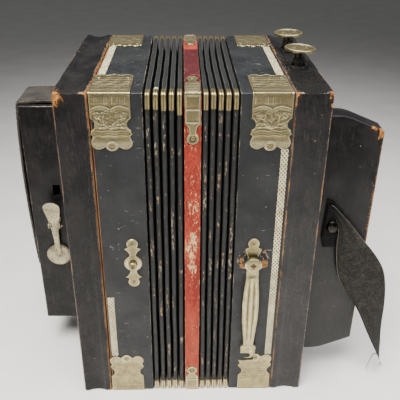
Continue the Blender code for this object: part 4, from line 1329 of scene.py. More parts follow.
def middle_clips():
    """The four clips that wrap the red frame's edges."""
    for edge, side_z in (("top", 1), ("bottom", -1)):
        for face, side_y in (("front", -1), ("back", 1)):
            node = f"middle_clip_{edge}_{face}"
            low, high = node_box(node)
            front, top = high[2] - low[2], high[1] - low[1] - 1.0
            if side_z < 0:
                front -= 11
            leaf = clip_outline(front)
            other = clip_outline(top)
            outline = [(u, -v) for u, v in leaf] + [(-u, v) for u, v in other][1:-1]
            seed = side_y + side_z * 2.0

            def relief(u, v):
                below = clip_relief(front, seed, -1)(u, v)
                above = clip_relief(top, seed, 1)(u, v)
                return np.where(v < 0, below[0], above[0]), np.where(v < 0, below[1], above[1])

            place = fold_place(CLIP_X, side_y, side_z, 0.9, 0.06, seed, proud=-0.5)
            build = Build()
            pressed(build, outline, place, relief, step=0.45)
            screws = [(0, -(front - 4.6), (0, side_y, 0)), (0, top - 4.6, (0, 0, side_z))]
            if side_z < 0:
                screws.append((0, -5.0, (0, side_y, 0)))
            for u, v, normal in screws:
                screw_head(build, place(u, v, 0.12), normal, 1.5, turn=seed + v, rise=0.35)
            obj = build.piece(f"{node}_plate", METAL, "middle", "nickel_silver", 40)
            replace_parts(obj, node)


# ---------------------------------------------------------------- bellows


def weight_place(weight):
    """Where a blend's smooth step reaches a weight."""
    return 0.5 - math.sin(math.asin(1 - 2 * weight) / 3)


def carry(obj, side, x0, w0, x1, w1):
    """Bakes the piece's place into its points. It isn't ridden between the two bodies: side, x0 and x1 are
    not used, and nor are the places found from w0 and w1.
    """
    t0, t1 = weight_place(w0), weight_place(w1)
    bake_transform(obj)


def sway(side):
    """The folds' own unevenness: they lean and wave a little, more along the top and bottom."""
    x0, x1 = FOLD_X[side]
    seed = 3.0 if side == "bass" else 9.0

    def move(x, y, z):
        t = min(1.0, max(0.0, (x - x0) / (x1 - x0)))
        free = 4 * t * (1 - t)
        on_top = max(0.0, 1 - min(TOP - z, z) / 14)
        bow = -SIDE[side] * 0.9 * on_top * math.cos(math.pi / 2 * y / FRONT)
        shake = 0.42 * wave(x * 0.9, y, z * 0.5, 24, seed) + 0.2 * wave(x, y, z, 9, seed)
        out = 0.35 * wave(x * 3, y * 0.5, z * 0.4, 16, seed + 2) - 0.25
        return (bow + shake) * min(1.0, free * 1.6), out

    return move


def swayed(obj, side):
    """Leans a fold away from its straight shape."""
    move = sway(side)
    for vertex in obj.data.vertices:
        x, y, z = (c / MM for c in vertex.co)
        dx, out = move(x, y, z)
        vertex.co = Vector(spread_out(x + dx, y, z, out)) * MM
    obj.data.update()


CREST_HALF = 1.75
CREST_FOOT = 2.9  # where the valleys leave the crests, in from the casing's outside
VALLEY = 12.5  # and where they turn back


def fold_rest(build):
    """Keeps each point's first place, for a finish that moves with the fold."""
    build.values["rest"] = [tuple(c * MM for c in v) for v in build.verts]


def folds(side):
    """Half the bellows: five crests, and the valleys between them."""
    x0, x1 = FOLD_X[side]
    pitch = (x1 - x0) / FOLDS
    weights = [(k + 0.5) / FOLDS for k in range(FOLDS)]
    middles = [x0 + pitch * (k + 0.5) for k in range(FOLDS)]
    for k, (x, w) in enumerate(zip(middles, weights)):
        h = CREST_HALF
        outer = [(-h, 4.6), (-h - 0.02, 2.4), (-h * 0.93, 1.45), (-h * 0.66, 0.92), (-h * 0.3, 0.66),
                 (0, 0.58)]
        crest = [0.0, 0.25, 0.7, 0.95, 1.0, 1.0]
        outer += mirrored(outer[:-1])
        crest += crest[:-1][::-1]
        inner = [(h - 0.7, 4.6), (h - 0.7, 2.6), (-h + 0.7, 2.6), (-h + 0.7, 4.6)]
        profile = [(x + u, inset) for u, inset in outer + inner]
        build = ring(profile, 2.2, 6, steps=FOLD_STEPS)
        count = len(build.verts) // len(profile)
        build.values["crest"] = [c for c in crest + [0] * 4 for _ in range(count)]
        fold_rest(build)
        name = f"{side}_fold_{k + 1}_crest"
        obj = build.piece(name, FOLD_PAINT, None, "bellows_cloth", 50)
        carry(obj, side, x, w, x, w)
        swayed(obj, side)
        if k == 0:
            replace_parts(obj, f"{side}_bellows")
    borders = [(x0 - 0.2, 0.0)]
    for x, w in zip(middles, weights):
        borders += [(x - CREST_HALF + 0.35, w), (x + CREST_HALF - 0.35, w)]
    borders.append((x1 + 0.2, 1.0))
    for k in range(FOLDS + 1):
        (xa, wa), (xb, wb) = borders[2 * k], borders[2 * k + 1]
        down = [(0.0, CREST_FOOT), (0.03, 4.2), (0.16, 7.0), (0.34, 10.0), (0.5, VALLEY)]
        deep = VALLEY if 0 < k < FOLDS else 9.0
        reach, whole = deep - CREST_FOOT, VALLEY - CREST_FOOT
        outer = [(xa + (xb - xa) * t, CREST_FOOT + (inset - CREST_FOOT) * reach / whole) for t, inset in down]
        outer += [(xa + xb - x, inset) for x, inset in reversed(outer[:-1])]
        inner = [(x, inset + 0.55) for x, inset in reversed(outer)]
        build = ring(outer + inner, 2.2, 3, steps=FOLD_STEPS)
        build.values["crest"] = [0.0] * len(build.verts)
        fold_rest(build)
        obj = build.piece(f"{side}_fold_valley_{k + 1}", FOLD_PAINT, None, "bellows_cloth", 50)
        carry(obj, side, xa, wa, xb, wb)
        swayed(obj, side)
    return middles, weights


def fold_clips(side, middles, weights):
    """Bright sheaths pressed over every fold's four corners."""
    move = sway(side)
    rnd = random.Random(7 if side == "bass" else 11)
    h = CREST_HALF + 0.16
    section = [(-h, 3.9), (-h - 0.02, 2.2), (-h * 0.94, 1.0), (-h * 0.7, 0.4), (-h * 0.38, 0.12)]
    section += [(-0.26, 0.2), (0, 0.46)]
    section += mirrored(section[:-1])
    section += [(h - 0.35, 3.9), (h - 0.4, 2.3), (h * 0.6, 0.95), (0, 0.9)]
    section += mirrored(section[-4:-1])
    # Each section point's tone: painted highlights on the two shoulders, and a dark line down the middle
    # groove.
    looks = [0.3, 0.45, 0.6, 0.85, 0.8, 0.4, 0.0, 0.4, 0.8, 0.85, 0.6, 0.45, 0.3] + [0.2] * 7
    for k, (x, w) in enumerate(zip(middles, weights)):
        build = Build()
        for corner in CORNERS:
            tall = (10.0 if corner[1] > 0 else 7.6) + rnd.uniform(-0.7, 0.9)
            if side == "bass" and k == 4 and corner == (-1, 1):
                tall = 13.8
            flat = 7.0 + rnd.uniform(-0.6, 0.8)
            tilt = rnd.uniform(-0.12, 0.12)
            rows = []
            for u, inset in section:
                row = []
                r = max(2.6 - inset, 0.12)
                cy, cz = FRONT - inset - r, TOP / 2 - inset - r
                path = [(cy - flat * t, cz + r) for t in (1.0, 0.93, 0.7, 0.35)]
                path += [(cy + r * math.sin(a), cz + r * math.cos(a)) for a in np.linspace(0, math.pi / 2, 8)]
                path += [(cy + r, cz - tall * t) for t in (0.2, 0.45, 0.7, 0.95, 1.0)]
                for i, (py, pz) in enumerate(path):
                    y, z = corner[0] * py, TOP / 2 + corner[1] * pz
                    dx, out = move(x, y, z)
                    flare = 0.12 if i in (0, len(path) - 1) else 0.0
                    side_x = x + u * (1 + flare * 0.3) + dx + tilt * (TOP / 2 - pz) * 0.06
                    tall_z = TOP / 2 + (z - TOP / 2) * (1 + out / (TOP / 2))
                    row.append((side_x, y * (1 + (out + 0.1) / FRONT), tall_z))
                rows.append(row)
            build.grid([list(r) for r in zip(*rows)], closed_v=True, caps=("start", "end"),
                       relief=[looks[j] for _ in rows[0] for j in range(len(section))])
        obj = build.piece(f"{side}_fold_{k + 1}_clips", METAL_CLIP, None, "nickel_silver", 40)
        carry(obj, side, x, w, x, w)


# ---------------------------------------------------------------- catch and clasp

CATCH_X = middle_x("catch_plate")
PIVOT = joint_place("clasp_swing")
HOLLOW, HOLLOW_RIM = 0.4, 0.1  # the depth round a screw, and the height of the ring about it
END_RADIUS = 4.7  # of the plates' round ends


def front_place(x, z, proud=0.0, dent=0.03, seed=0.0):
    """Lays a sheet on the front of a covered frame."""

    def place(u, v, height):
        bent = dent * wave(u, v, 0, 6.0, seed)
        return x + u, -(FRONT - COVER + proud + height + bent), z + v

    return place


def catch():
    """The catch plate and its stud."""
    low, high = node_box("catch_plate")
    z, half = (low[2] + high[2]) / 2, (high[2] - low[2]) / 2 - 0.2
    lobe = END_RADIUS
    quarter = arc(0, 0, 7.3, 0, 66, 8) + [(2.6, 7.9), (3.3, 9.6), (4.6, 11.6), (7.0, half - 9.3),
                                          (6.0, half - 8.9)]
    quarter += [(3.9, half - 8.1)]
    upper = quarter + arc(0, half - lobe, lobe, -38, 218, 18) + mirrored(quarter)
    outline = upper + [(-u, -v) for u, v in upper[1:-1]]

    def relief(u, v):
        r = np.hypot(u, v)
        dish = 0.42 * ridge(r - 4.9, 1.1) - 0.25 * ridge(r - 2.6, 0.6)
        hole = np.zeros(len(u))
        for s in (-1, 1):
            d = np.hypot(u, v - s * (half - lobe))
            hole = hole - HOLLOW * ridge(d, 1.3) + HOLLOW_RIM * ridge(d - 2.2, 0.4)
        fine = grit(u, v, 1.5, 3)
        return dish + hole + 0.05 * fine, 0.5

    build = Build()
    pressed(build, outline, front_place(CATCH_X, z), relief, step=0.45, thick=0.75, rim=0.22)
    for s in (-1, 1):
        spot = (CATCH_X + 0.2, -(FRONT + 0.15), z + s * (half - lobe))
        screw_head(build, spot, (0, -1, 0), 1.5, turn=0.9 + s, rise=0.35)
    stud = ((1.5, -1.0), (1.5, 4.9), (3.2, 5.1), (3.3, 5.6), (2.9, 6.1), (1.9, 6.45), (0.8, 6.2), (0.4, 5.9))
    profile = [(r, -t) for r, t in stud]
    # The stud's tone: a painted highlight round the rim of its head, darker on top.
    look = [0.3, 0.4, 0.4, 0.8, 0.7, 0.4, 0.15, 0.1]
    build.turned(profile, "y", (CATCH_X, -FRONT + COVER, z), 28, relief=look)
    obj = build.piece("catch_plate_pressed", METAL, "bass_side", "nickel_silver", 40)
    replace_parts(obj, "catch_plate")


def clasp():
    """The clasp's base plate, an eight-sided washer under a square nut, and the bar that turns on it."""
    px, _, pz = PIVOT
    half = 17.8
    side = [(4.2, -9.0), (4.4, 6.0), (6.9, 12.2), (6.3, 12.9), (4.0, 14.0)]
    outline = side + arc(0, half, END_RADIUS, -38, 218, 18) + mirrored(side)

    def relief(u, v):
        d = np.hypot(u, v - half)
        fine = grit(u, v, 1.5, 8)
        return -HOLLOW * ridge(d, 1.3) + HOLLOW_RIM * ridge(d - 2.2, 0.4) + 0.05 * fine, 0.5

    build = Build()
    pressed(build, outline, front_place(px, pz, seed=4.0), relief, step=0.45, thick=0.75, rim=0.22)
    screw_head(build, (px, -(FRONT + 0.15), pz + half), (0, -1, 0), 1.5, turn=0.6, rise=0.35)
    head = [(2.3, -1.0), (2.3, 4.7), (6.6, 4.75), (7.3, 5.2), (7.3, 5.8), (6.6, 6.35), (4.6, 6.55),
            (2.5, 6.5)]

    rows, looks = [], []
    head += [(1.9, 5.9), (0.3, 5.9)]
    # The head's tone: a painted highlight on the washer's rim and top, and dark in the middle hollow.
    for (r, t), look in zip(head, (0.3, 0.3, 0.3, 0.6, 0.8, 0.85, 0.6, 0.55, 0.08, 0.08)):
        row = []
        for k in range(48):
            a = 2 * math.pi * (k + 0.5) / 48
            flat = math.cos(math.pi / 8) / math.cos((a + math.pi / 8) % (math.pi / 4) - math.pi / 8)
            square = math.cos(math.pi / 4) / math.cos(a % (math.pi / 2) - math.pi / 4)
            q = r * (flat if r > 4 else square * 1.15 if r < 3 and t > 5 else 1.0)
            tall = 0.86 if r > 4 else 1.0
            up = q * math.sin(a) * tall
            row.append((px + q * math.cos(a), -FRONT + COVER - t, pz + up + (0.4 if r > 4 else 0)))
        rows.append(row)
        looks += [look] * 48
    build.grid(rows, closed_v=True, caps=("start", "end"), relief=looks)
    obj = build.piece("clasp_base_pressed", METAL, "treble_side", "nickel_silver", 40)
    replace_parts(obj, "clasp_base")
    bar()


def bar_half(d):
    """Half the bar's width at a distance below its pivot."""
    ends = ((0, 6.2), (6, 5.6), (11, 5.0), (24, 6.2), (40, 7.0), (56, 6.7), (70, 5.5), (80, 4.6), (83.5, 4.3))
    return float(np.interp(d, [e[0] for e in ends], [e[1] for e in ends]))


def bar():
    """The swinging bar: an eye, a fluted grip that swells and narrows, and the notched hook."""
    px, _, pz = PIVOT
    back = node_box("clasp_bar")[1][1]
    notch = 95.6
    right = [(bar_half(d), -d) for d in np.linspace(9, 83.5, 28)]
    right += [(6.5, -85.4), (7.0, -87.6), (6.4, -90), (6.6, -93), (5.6, -96.6), (3.4, -98.6), (0.2, -99.1)]
    left = mirrored(right[:-1])
    outline = right + left + [(-u, v) for u, v in arc(0, 0, 6.3, -40, 220, 24)]
    hole = arc(0, 0, 2.9, 0, 330, 11)
    gap_line = [(-7.5, -93.5)] + arc(0, -notch, 2.1, 90, -90, 8) + [(-7.5, -97.7)]

    def across(u, v):
        return u / np.array([bar_half(-b) for b in v])

    def relief(u, v):
        d = -v
        flutes = 0.17 * np.cos(across(u, v) * 3.0 * np.pi) * window(d, 12.5, 81, 5)
        end = 0.3 * ridge(np.hypot(u - 2.8, v + 91), 1.4) + 0.2 * ridge(d - 86.5, 0.6)
        pin = 0.5 * ridge(np.hypot(u, v + 13.2), 0.9)
        fine = grit(u * 2, v * 0.3, 1.8, 5)
        return flutes + end + pin + 0.06 * fine, 0.5

    def form(u, v):
        return 0.9 * np.clip(1 - across(u, v) ** 2, 0, 1) * window(-v, 10, 84, 4)

    def place(u, v, height):
        return px + u, back - 0.1 - height, pz + v

    build = Build()
    pressed(build, outline, place, relief, form, (hole, gap_line), step=0.5, thick=1.4, rim=0.08)
    obj = build.piece("clasp_bar_fluted", METAL_BRUSHED, "clasp", "nickel_silver", 45)
    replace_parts(obj, "clasp_bar")


# ---------------------------------------------------------------- bass end


def tool(verts, faces):
    """A cutting solid, gone once it has cut."""
    return piece("cutter", verts, faces, DARK, None)


def round_tool(axis, centre, radius, reach):
    """A round cutter, which reaches as far to either side of its centre."""
    build = Build()
    build.turned([(radius, -reach), (radius, reach)], axis, centre, 32)
    return tool(build.verts, build.faces)


BOX_LOW, BOX_HIGH = node_box("bass_box")
AIR_X = middle_x("air_key")
BASS_X = [middle_x(f"bass_key_{k}") for k in (1, 2)]
PALLET_Z = 107.0


def bass_box():
    """The black box on the bass end, rounded at its edges, with its slot and holes."""
    wall = 4.5
    obj = piece("bass_box_body", *slab(BOX_LOW, BOX_HIGH), BOX_PAINT, None)
    inner_low = [v + wall for v in BOX_LOW]
    inner_high = [BOX_HIGH[0] + 4, BOX_HIGH[1] - wall, BOX_HIGH[2] - wall]
    cutters = [tool(*slab(inner_low, inner_high))]
    slot_low, slot_high = (AIR_X + 1, BOX_LOW[1] - 4, 166), (AIR_X + 7, BOX_LOW[1] + wall + 1, 177)
    cutters.append(tool(*slab(slot_low, slot_high)))
    cutters.append(round_tool("y", (AIR_X, BOX_LOW[1], PALLET_Z), 6.2, 8))
    cutters += [round_tool("y", (x, BOX_HIGH[1], PALLET_Z), 4.4, 8) for x in BASS_X]
    solid(obj, cutters, bevel=1.3, segments=4)
    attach(obj, "bass_side")
    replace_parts(obj, "bass_box")


HAND_STRAP_THICK = 2.0


def outward(along):
    """The hand strap's outer side, square to its run."""
    out = Vector((along.z, 0, -along.x))
    return -out if out.dot(Vector((-1, 0, 1))) < 0 else out


def hand_strap():
    """A worn leather band over the box's top and down its outer end."""
    low, high = node_box("hand_strap")
    y0, y1 = low[1], high[1]
    top = BOX_HIGH[2] + 0.35
    face = BOX_LOW[0] - 0.35
    bottom = low[2]
    path = [(BOX_HIGH[0] - 2.6 - k * 4.1, top + 0.9 * math.sin(math.pi * k / 9) + 0.2) for k in range(10)]
    path += [(face + 1.4, top + 0.25), (face + 0.5, top - 0.05), (face, top - 0.7), (face - 0.25, top - 2.2)]
    count = 34
    for k in range(1, count + 1):
        t = k / count
        z = (top - 2.2) * (1 - t) + bottom * t
        path.append((face - 0.25 - 2.5 * math.sin(math.pi * t ** 0.82), z))
    build = Build()
    rows, wear = [], []
    across = np.linspace(0, 1, 15)
    for i, (x, z) in enumerate(path):
        ahead, behind = path[min(i + 1, len(path) - 1)], path[max(i - 1, 0)]
        along = Vector((ahead[0] - behind[0], 0, ahead[1] - behind[1])).normalized()
        out = outward(along)
        t = i / (len(path) - 1)
        row = []
        shrink = 0.5 * wave(i * 0.9, 3, 0, 6.0) + 0.4
        narrow = 1.8 * max(0.0, (t - 0.86) / 0.14) ** 2
        for thick, order in ((HAND_STRAP_THICK, across), (0.0, across[::-1])):
            for a in order:
                edge = min(a, 1 - a)
                curl = 0.35 * (1 - min(1, edge / 0.12)) ** 2
                swell = 0.18 * wave(a * 30, i * 1.5, 0, 5.0)
                up = thick * (0.88 if edge == 0 else 1.0) + swell * (thick > 0) - curl * (thick > 0) * 0.5
                y = y0 + shrink + narrow + (y1 - y0 - 2 * shrink - 2 * narrow) * a
                row.append(Vector((x, y, z)) + out * up)
                ends = max(0.0, 1 - min(t, 1 - t) / 0.02)
                wear.append(max(0.0, 1 - edge / 0.07, ends) if thick else 0.0)
        rows.append(row)
    build.grid(rows, closed_v=True, caps=("start", "end"), wear=wear)
    for a in (0.07, 0.93):
        for i in range(3, len(path) - 2):
            x, z = path[i]
            if z > bottom + 4:
                ahead = path[i + 1]
                mid = Vector(((x + ahead[0]) / 2, y0 + (y1 - y0) * a, (z + ahead[1]) / 2))
                step = Vector((ahead[0] - x, 0, ahead[1] - z))
                lift = outward(step).normalized() * (HAND_STRAP_THICK + 0.02)
                length = step * 0.30
                stitch = ((-1, 0.9), (-0.5, 1.06), (0.5, 1.06), (1, 0.9))
                build.tube([mid + length * t + lift * up for t, up in stitch], 0.28, 6)
    obj = build.piece("hand_strap_leather", LEATHER, "bass_side", "leather", 50)
    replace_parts(obj, "hand_strap")
    rivets = Build()
    for y in (y0 + 9, y1 - 9):
        screw_head(rivets, (path[-4][0] - 1.6, y, path[-4][1]), (-1, 0, 0.05), 2.6, turn=y, rise=0.45)
        screw_head(rivets, (path[2][0], y, path[2][1] + 1.8), (0, 0, 1), 2.6, turn=y + 1, rise=0.45)
    rivets.piece("hand_strap_screws", METAL, "bass_side", "nickel_silver")


def spoon_key(node, x, face, out, radius):
    """A pressed spoon lever on its pin, with a round domed pallet and its leather pad."""
    _, py, pz = joint_place(f"{node}_press")
    build = Build()
    rise = [(23.6, 6.2, 4.6), (23.0, 6.0, 6.0), (20.5, 5.2, 7.0), (16.5, 3.9, 6.9), (12.5, 2.7, 6.2),
            (8.5, 1.8, 5.4)]
    rise += [(4.0, 1.2, 4.5), (0.0, 0.8, 3.8), (-5.0, 0.3, 3.1), (-10.0, -0.4, 2.7), (-17.0, -1.3, 2.4)]
    rise += [(-24.0, -2.2, 2.5), (-30.0, -2.8, 3.2), (PALLET_Z - pz, -3.1, 4.4)]
    rows, looks = [], []
    for i, (z, y, half) in enumerate(rise):
        row = []
        dish = 1.5 * math.sin(math.pi * min(1.0, max(0.0, (z - 7) / 16)))
        for a in np.linspace(-1, 1, 11):
            crown = -dish * (1 - a * a) if z > 8 else 0.9 * (1 - a * a) * 0.6
            tip = 1.9 * math.sqrt(max(0, 1 - a * a)) if i == 0 else 0
            row.append((x + half * a, py + out * (y + crown), pz + z + tip))
            looks.append(0.5 + 0.3 * (abs(a) > 0.85))
        for a in np.linspace(1, -1, 11):
            crown = -dish * (1 - a * a) if z > 8 else 0.9 * (1 - a * a) * 0.6
            row.append((x + half * 0.97 * a, py + out * (y + crown - 1.1), pz + z))
            looks.append(0.35)
        rows.append(row)
    build.grid(rows, closed_v=True, caps=("start", "end"), relief=looks)
    for s in (-1, 1):
        lug = [(x + s * 2.9 - 0.5, py - 2.1, pz - 2.4), (x + s * 2.9 + 0.5, py + 1.4, pz + 2.4)]
        if out > 0:
            lug = [(lug[0][0], py - 1.4, lug[0][2]), (lug[1][0], py + 2.1, lug[1][2])]
        build.add(*slab(*lug))
    disc = [(radius - 0.8, 1.2), (radius, 1.4), (radius, 2.0), (radius - 0.9, 2.45), (radius * 0.75, 2.75)]
    disc += [(radius * 0.5, 3.0), (radius * 0.25, 3.1), (0.02, 3.15)]
    build.turned([(r, out * t) for r, t in disc], "y", (x, face, PALLET_Z), 40)
    screw_head(build, (x, face + out * 3.6, PALLET_Z), (0, out, 0), 2.0, turn=0.7, rise=0.5)
    obj = build.piece(f"{node}_spoon", METAL_SPOTTED, node, "nickel_silver", 40)
    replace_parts(obj, node)
    pad = Build()
    pad.turned([(radius - 0.7, out * 0.35), (radius - 0.5, out * 0.7), (radius - 0.6, out * 1.25)], "y",
               (x, face, PALLET_Z), 32)
    pad.piece(f"{node}_pad", PAD, node)


# ---------------------------------------------------------------- keyboard

SHELL_LOW, SHELL_HIGH = node_box("keyboard_shell")
LID_LOW, LID_HIGH = node_box("keyboard_lid")
BOARD_Z = (SHELL_LOW[2] + SHELL_HIGH[2]) / 2
BOARD_TALL = (SHELL_HIGH[2] - SHELL_LOW[2]) / 2
BUTTONS = [node_box(f"treble_button_{k + 1:02d}") for k in range(10)]


def board_drop(x):
    """How far the keyboard's ends have curved in at a distance from the casing."""
    t = max(0.0, x - 110.0)
    slope = 0.42
    return slope / 24 * t * t if t < 12 else slope * (t - 6)


def board_outline(inset, x_in):
    """The keyboard's outline in X and Z, with curved-in ends."""
    x_out = SHELL_HIGH[0] - inset
    xs = [x_in] + list(np.linspace(108, x_out, 16))
    top = [(x, BOARD_Z + BOARD_TALL - inset - board_drop(x)) for x in xs]
    return top + [(x, 2 * BOARD_Z - z) for x, z in reversed(top)]


def prism(outline, y0, y1):
    """An outline's points and faces between two Y."""
    count = len(outline)
    verts = [(x, y0, z) for x, z in outline] + [(x, y1, z) for x, z in outline]
    faces = [tuple(range(count)), tuple(reversed(range(count, 2 * count)))]
    faces += [(i, (i + 1) % count, (i + 1) % count + count, i + count) for i in range(count)]
    return verts, faces


def keyboard():
    """The hollow keyboard, its top board, and its ten bone buttons."""
    wall, front = 4.0, SHELL_HIGH[1]
    paint = board_paint()
    obj = piece("keyboard_body", *prism(board_outline(0, SHELL_LOW[0]), SHELL_LOW[1], front), paint, None)
    hollow = tool(*prism(board_outline(wall, SHELL_LOW[0] - 4), SHELL_LOW[1] + wall, front + 5))
    solid(obj, [hollow], bevel=1.1, segments=4)
    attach(obj, "treble_side")
    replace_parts(obj, "keyboard_shell")
    board = prism(board_outline(0, LID_LOW[0]), LID_LOW[1], LID_HIGH[1])
    lid = piece("keyboard_top_board", *board, paint, None)
    holes = []
    for low, high in BUTTONS:
        x, z = (low[0] + high[0]) / 2, (low[2] + high[2]) / 2
        holes.append(round_tool("y", (x, LID_HIGH[1], z), (high[0] - low[0]) / 2 + 1.7, 8))
    solid(lid, holes, bevel=0.8, segments=3)
    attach(lid, "treble_side")
    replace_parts(lid, "keyboard_lid")
    for k, (low, high) in enumerate(BUTTONS):
        node = f"treble_button_{k + 1:02d}"
        x, z = (low[0] + high[0]) / 2, (low[2] + high[2]) / 2
        r, tall = (high[0] - low[0]) / 2, high[1] - low[1]
        profile = [(3.4, 0), (3.4, 2.5), (r - 0.3, 3.2), (r, 3.8), (r, tall - 2.4), (r - 0.15, tall - 1.9)]
        profile += [(r - 0.15, tall - 1.5), (r, tall - 1.1), (r - 0.5, tall - 0.45), (r - 1.6, tall - 0.1)]
        profile += [(r - 2.6, tall - 0.22), (1.2, tall - 0.5), (0.05, tall - 0.55)]
        button = Build().turned(profile, "y", (x, low[1], z), 40)
        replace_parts(button.piece(f"{node}_bone", BONE, f"treble_key_{k + 1:02d}", "bone", 40), node)
    screws = Build()
    for z in (BOARD_Z - 88, BOARD_Z - 30, BOARD_Z + 30, BOARD_Z + 88):
        screw_head(screws, (112.0, LID_HIGH[1] + 0.1, z), (0, 1, 0), 2.3, turn=z, rise=0.35)
    screws.piece("keyboard_screws", METAL, "treble_side", "nickel_silver")


def board_paint():
    """The keyboard's brown-black stain, streaked along its length, with a worn orange outer edge."""
    x1 = SHELL_HIGH[0]
    chips = ((x1 - 1.5, SHELL_LOW[1] + 1, BOARD_Z + 101.5, 3.6), (x1 - 9, SHELL_LOW[1], BOARD_Z + 105.5, 2.0))
    low, high = (SHELL_LOW[0] - 40, SHELL_LOW[1], -200), (x1, LID_HIGH[1], 500)
    lines = [((x1, SHELL_LOW[1], z0), (x1, SHELL_LOW[1], z1), width) for z0, z1, width in (
        (196, 122, 2.3), (232, 196, 1.5), (90, 60, 1.6))]
    return ebony("ebonised_keyboard", (low, high), chips, 0.24, 0.85, lines=lines)


# ---------------------------------------------------------------- thumb strap

STUD = (115.2, 159.2)


def smooth_line(points, count):
    """Points evenly spread along a smooth line through a few others."""
    p = np.array(points, float)
    knots = np.concatenate(([0], np.cumsum(np.linalg.norm(np.diff(p, axis=0), axis=1))))
    ends = np.vstack((2 * p[0] - p[1], p, 2 * p[-1] - p[-2]))
    line = []
    for s in np.linspace(0, knots[-1], count):
        i = min(int(np.searchsorted(knots, s, side="right")) - 1, len(p) - 2)
        t = (s - knots[i]) / (knots[i + 1] - knots[i])
        a, b, c, d = ends[i:i + 4]
        square, cube = 2 * a - 5 * b + 4 * c - d, 3 * b - a - 3 * c + d
        line.append(0.5 * (2 * b + (c - a) * t + square * t ** 2 + cube * t ** 3))
    return np.array(line)


# The strap's width laid flat, in millimetres.
STRAP_WIDTH = 36.0


def thumb_strap():
    """A woven strap pulled together under its stud, that hangs slack and turns edge-on at its end."""
    right = [(110.3, -4.0, 182.2), (114.6, -4.7, 179.2), (126.4, -6.9, 166.8), (137.3, -9.0, 153.8),
             (148.7, -10.7, 140.7), (160.0, -6.4, 122.6), (166.0, -3.0, 105.0), (170.6, 1.2, 81.8),
             (175.6, 9.5, 46.0), (177.4, 7.6, 22.0), (178.0, 5.4, 8.6)]
    left = [(109.6, 0.0, 178.6), (114.5, -0.4, 170.6), (119.7, -0.9, 156.5), (119.8, -1.2, 141.8),
            (123.0, -1.4, 117.2), (128.9, -4.4, 99.5), (140.8, -8.5, 80.0), (151.5, -12.5, 60.5),
            (162.0, -12.0, 41.5), (170.2, -9.2, 25.5), (174.4, -6.0, 16.0)]
    count, wide = 96, 25
    edge_r, edge_l = smooth_line(right, count), smooth_line(left, count)
    rows, lay, wear = [], [], []
    run = 0.0
    face = SHELL_LOW[1] - 3.4
    for i in range(count):
        t = i / (count - 1)
        (rx, ry, rz), (lx, ly, lz) = edge_r[i], edge_l[i]
        if i:
            run += float(np.linalg.norm((edge_r[i] + edge_l[i] - edge_r[i - 1] - edge_l[i - 1]) / 2))
        row = []
        for side in (1, -1):
            cols = range(wide) if side == 1 else reversed(range(wide))
            for j in cols:
                c = j / (wide - 1)
                a = 2 * c - 1
                x, z = lx + (rx - lx) * c, lz + (rz - lz) * c
                crown = -2.6 * (1 - a * a) * math.sin(math.pi * min(1, t * 1.4)) if t < 0.72 else 0
                crown += 0.7 * math.sin(6.5 * a + 2.0 * t) * math.exp(-(t / 0.42) ** 2) * (1 - a * a)
                curl = 15 * max(0.0, -a - 0.72) ** 1.5 * math.exp(-((t - 0.60) / 0.16) ** 2)
                y = face + ly + (ry - ly) * c + crown - 0.35 * wave(x, z, 0, 11, 3) + curl * 1.5
                thick = 0.42 if abs(a) < 0.96 else 0.28
                row.append((x + curl * 1.2, y - side * thick, z))
                lay.append((c * STRAP_WIDTH * MM, run * MM, 0))
                wear.append(max(0.0, 1 - (1 - abs(a)) / 0.045))
        rows.append(row)
    build = Build()
    build.grid(rows, closed_v=True, caps=("start", "end"), strip=lay, wear=wear)
    obj = build.piece("thumb_strap_woven", WEAVE, "treble_side", "strap_cloth", 60)
    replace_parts(obj, "thumb_strap")
    thread = Build()
    wisp = [(173.6, 22.5), (169.6, 24.0), (166.6, 21.6), (164.2, 16.0), (163.4, 11.2), (164.2, 7.0),
            (163.9, 3.2)]
    line = smooth_line(wisp, 30)
    thread.tube([(x, face - 4.5 + 1.4 * math.sin(i * 0.3), z) for i, (x, z) in enumerate(line)],
                lambda t: 0.42 - 0.22 * t, 6)
    for start, end in (((175.6, 14.0), (177.6, 9.2)), ((175.4, 13.6), (175.9, 8.4)), ((174.6, 14.8),
                       (173.9, 10.0))):
        tuft = smooth_line([start, ((start[0] + end[0]) / 2 + 0.5, (start[1] + end[1]) / 2), end], 8)
        thread.tube([(x, face - 5.0, z) for x, z in tuft], lambda t: 0.32 - 0.2 * t, 5)
    loose = thread.piece("thumb_strap_thread", THREAD, "treble_side", "strap_cloth")


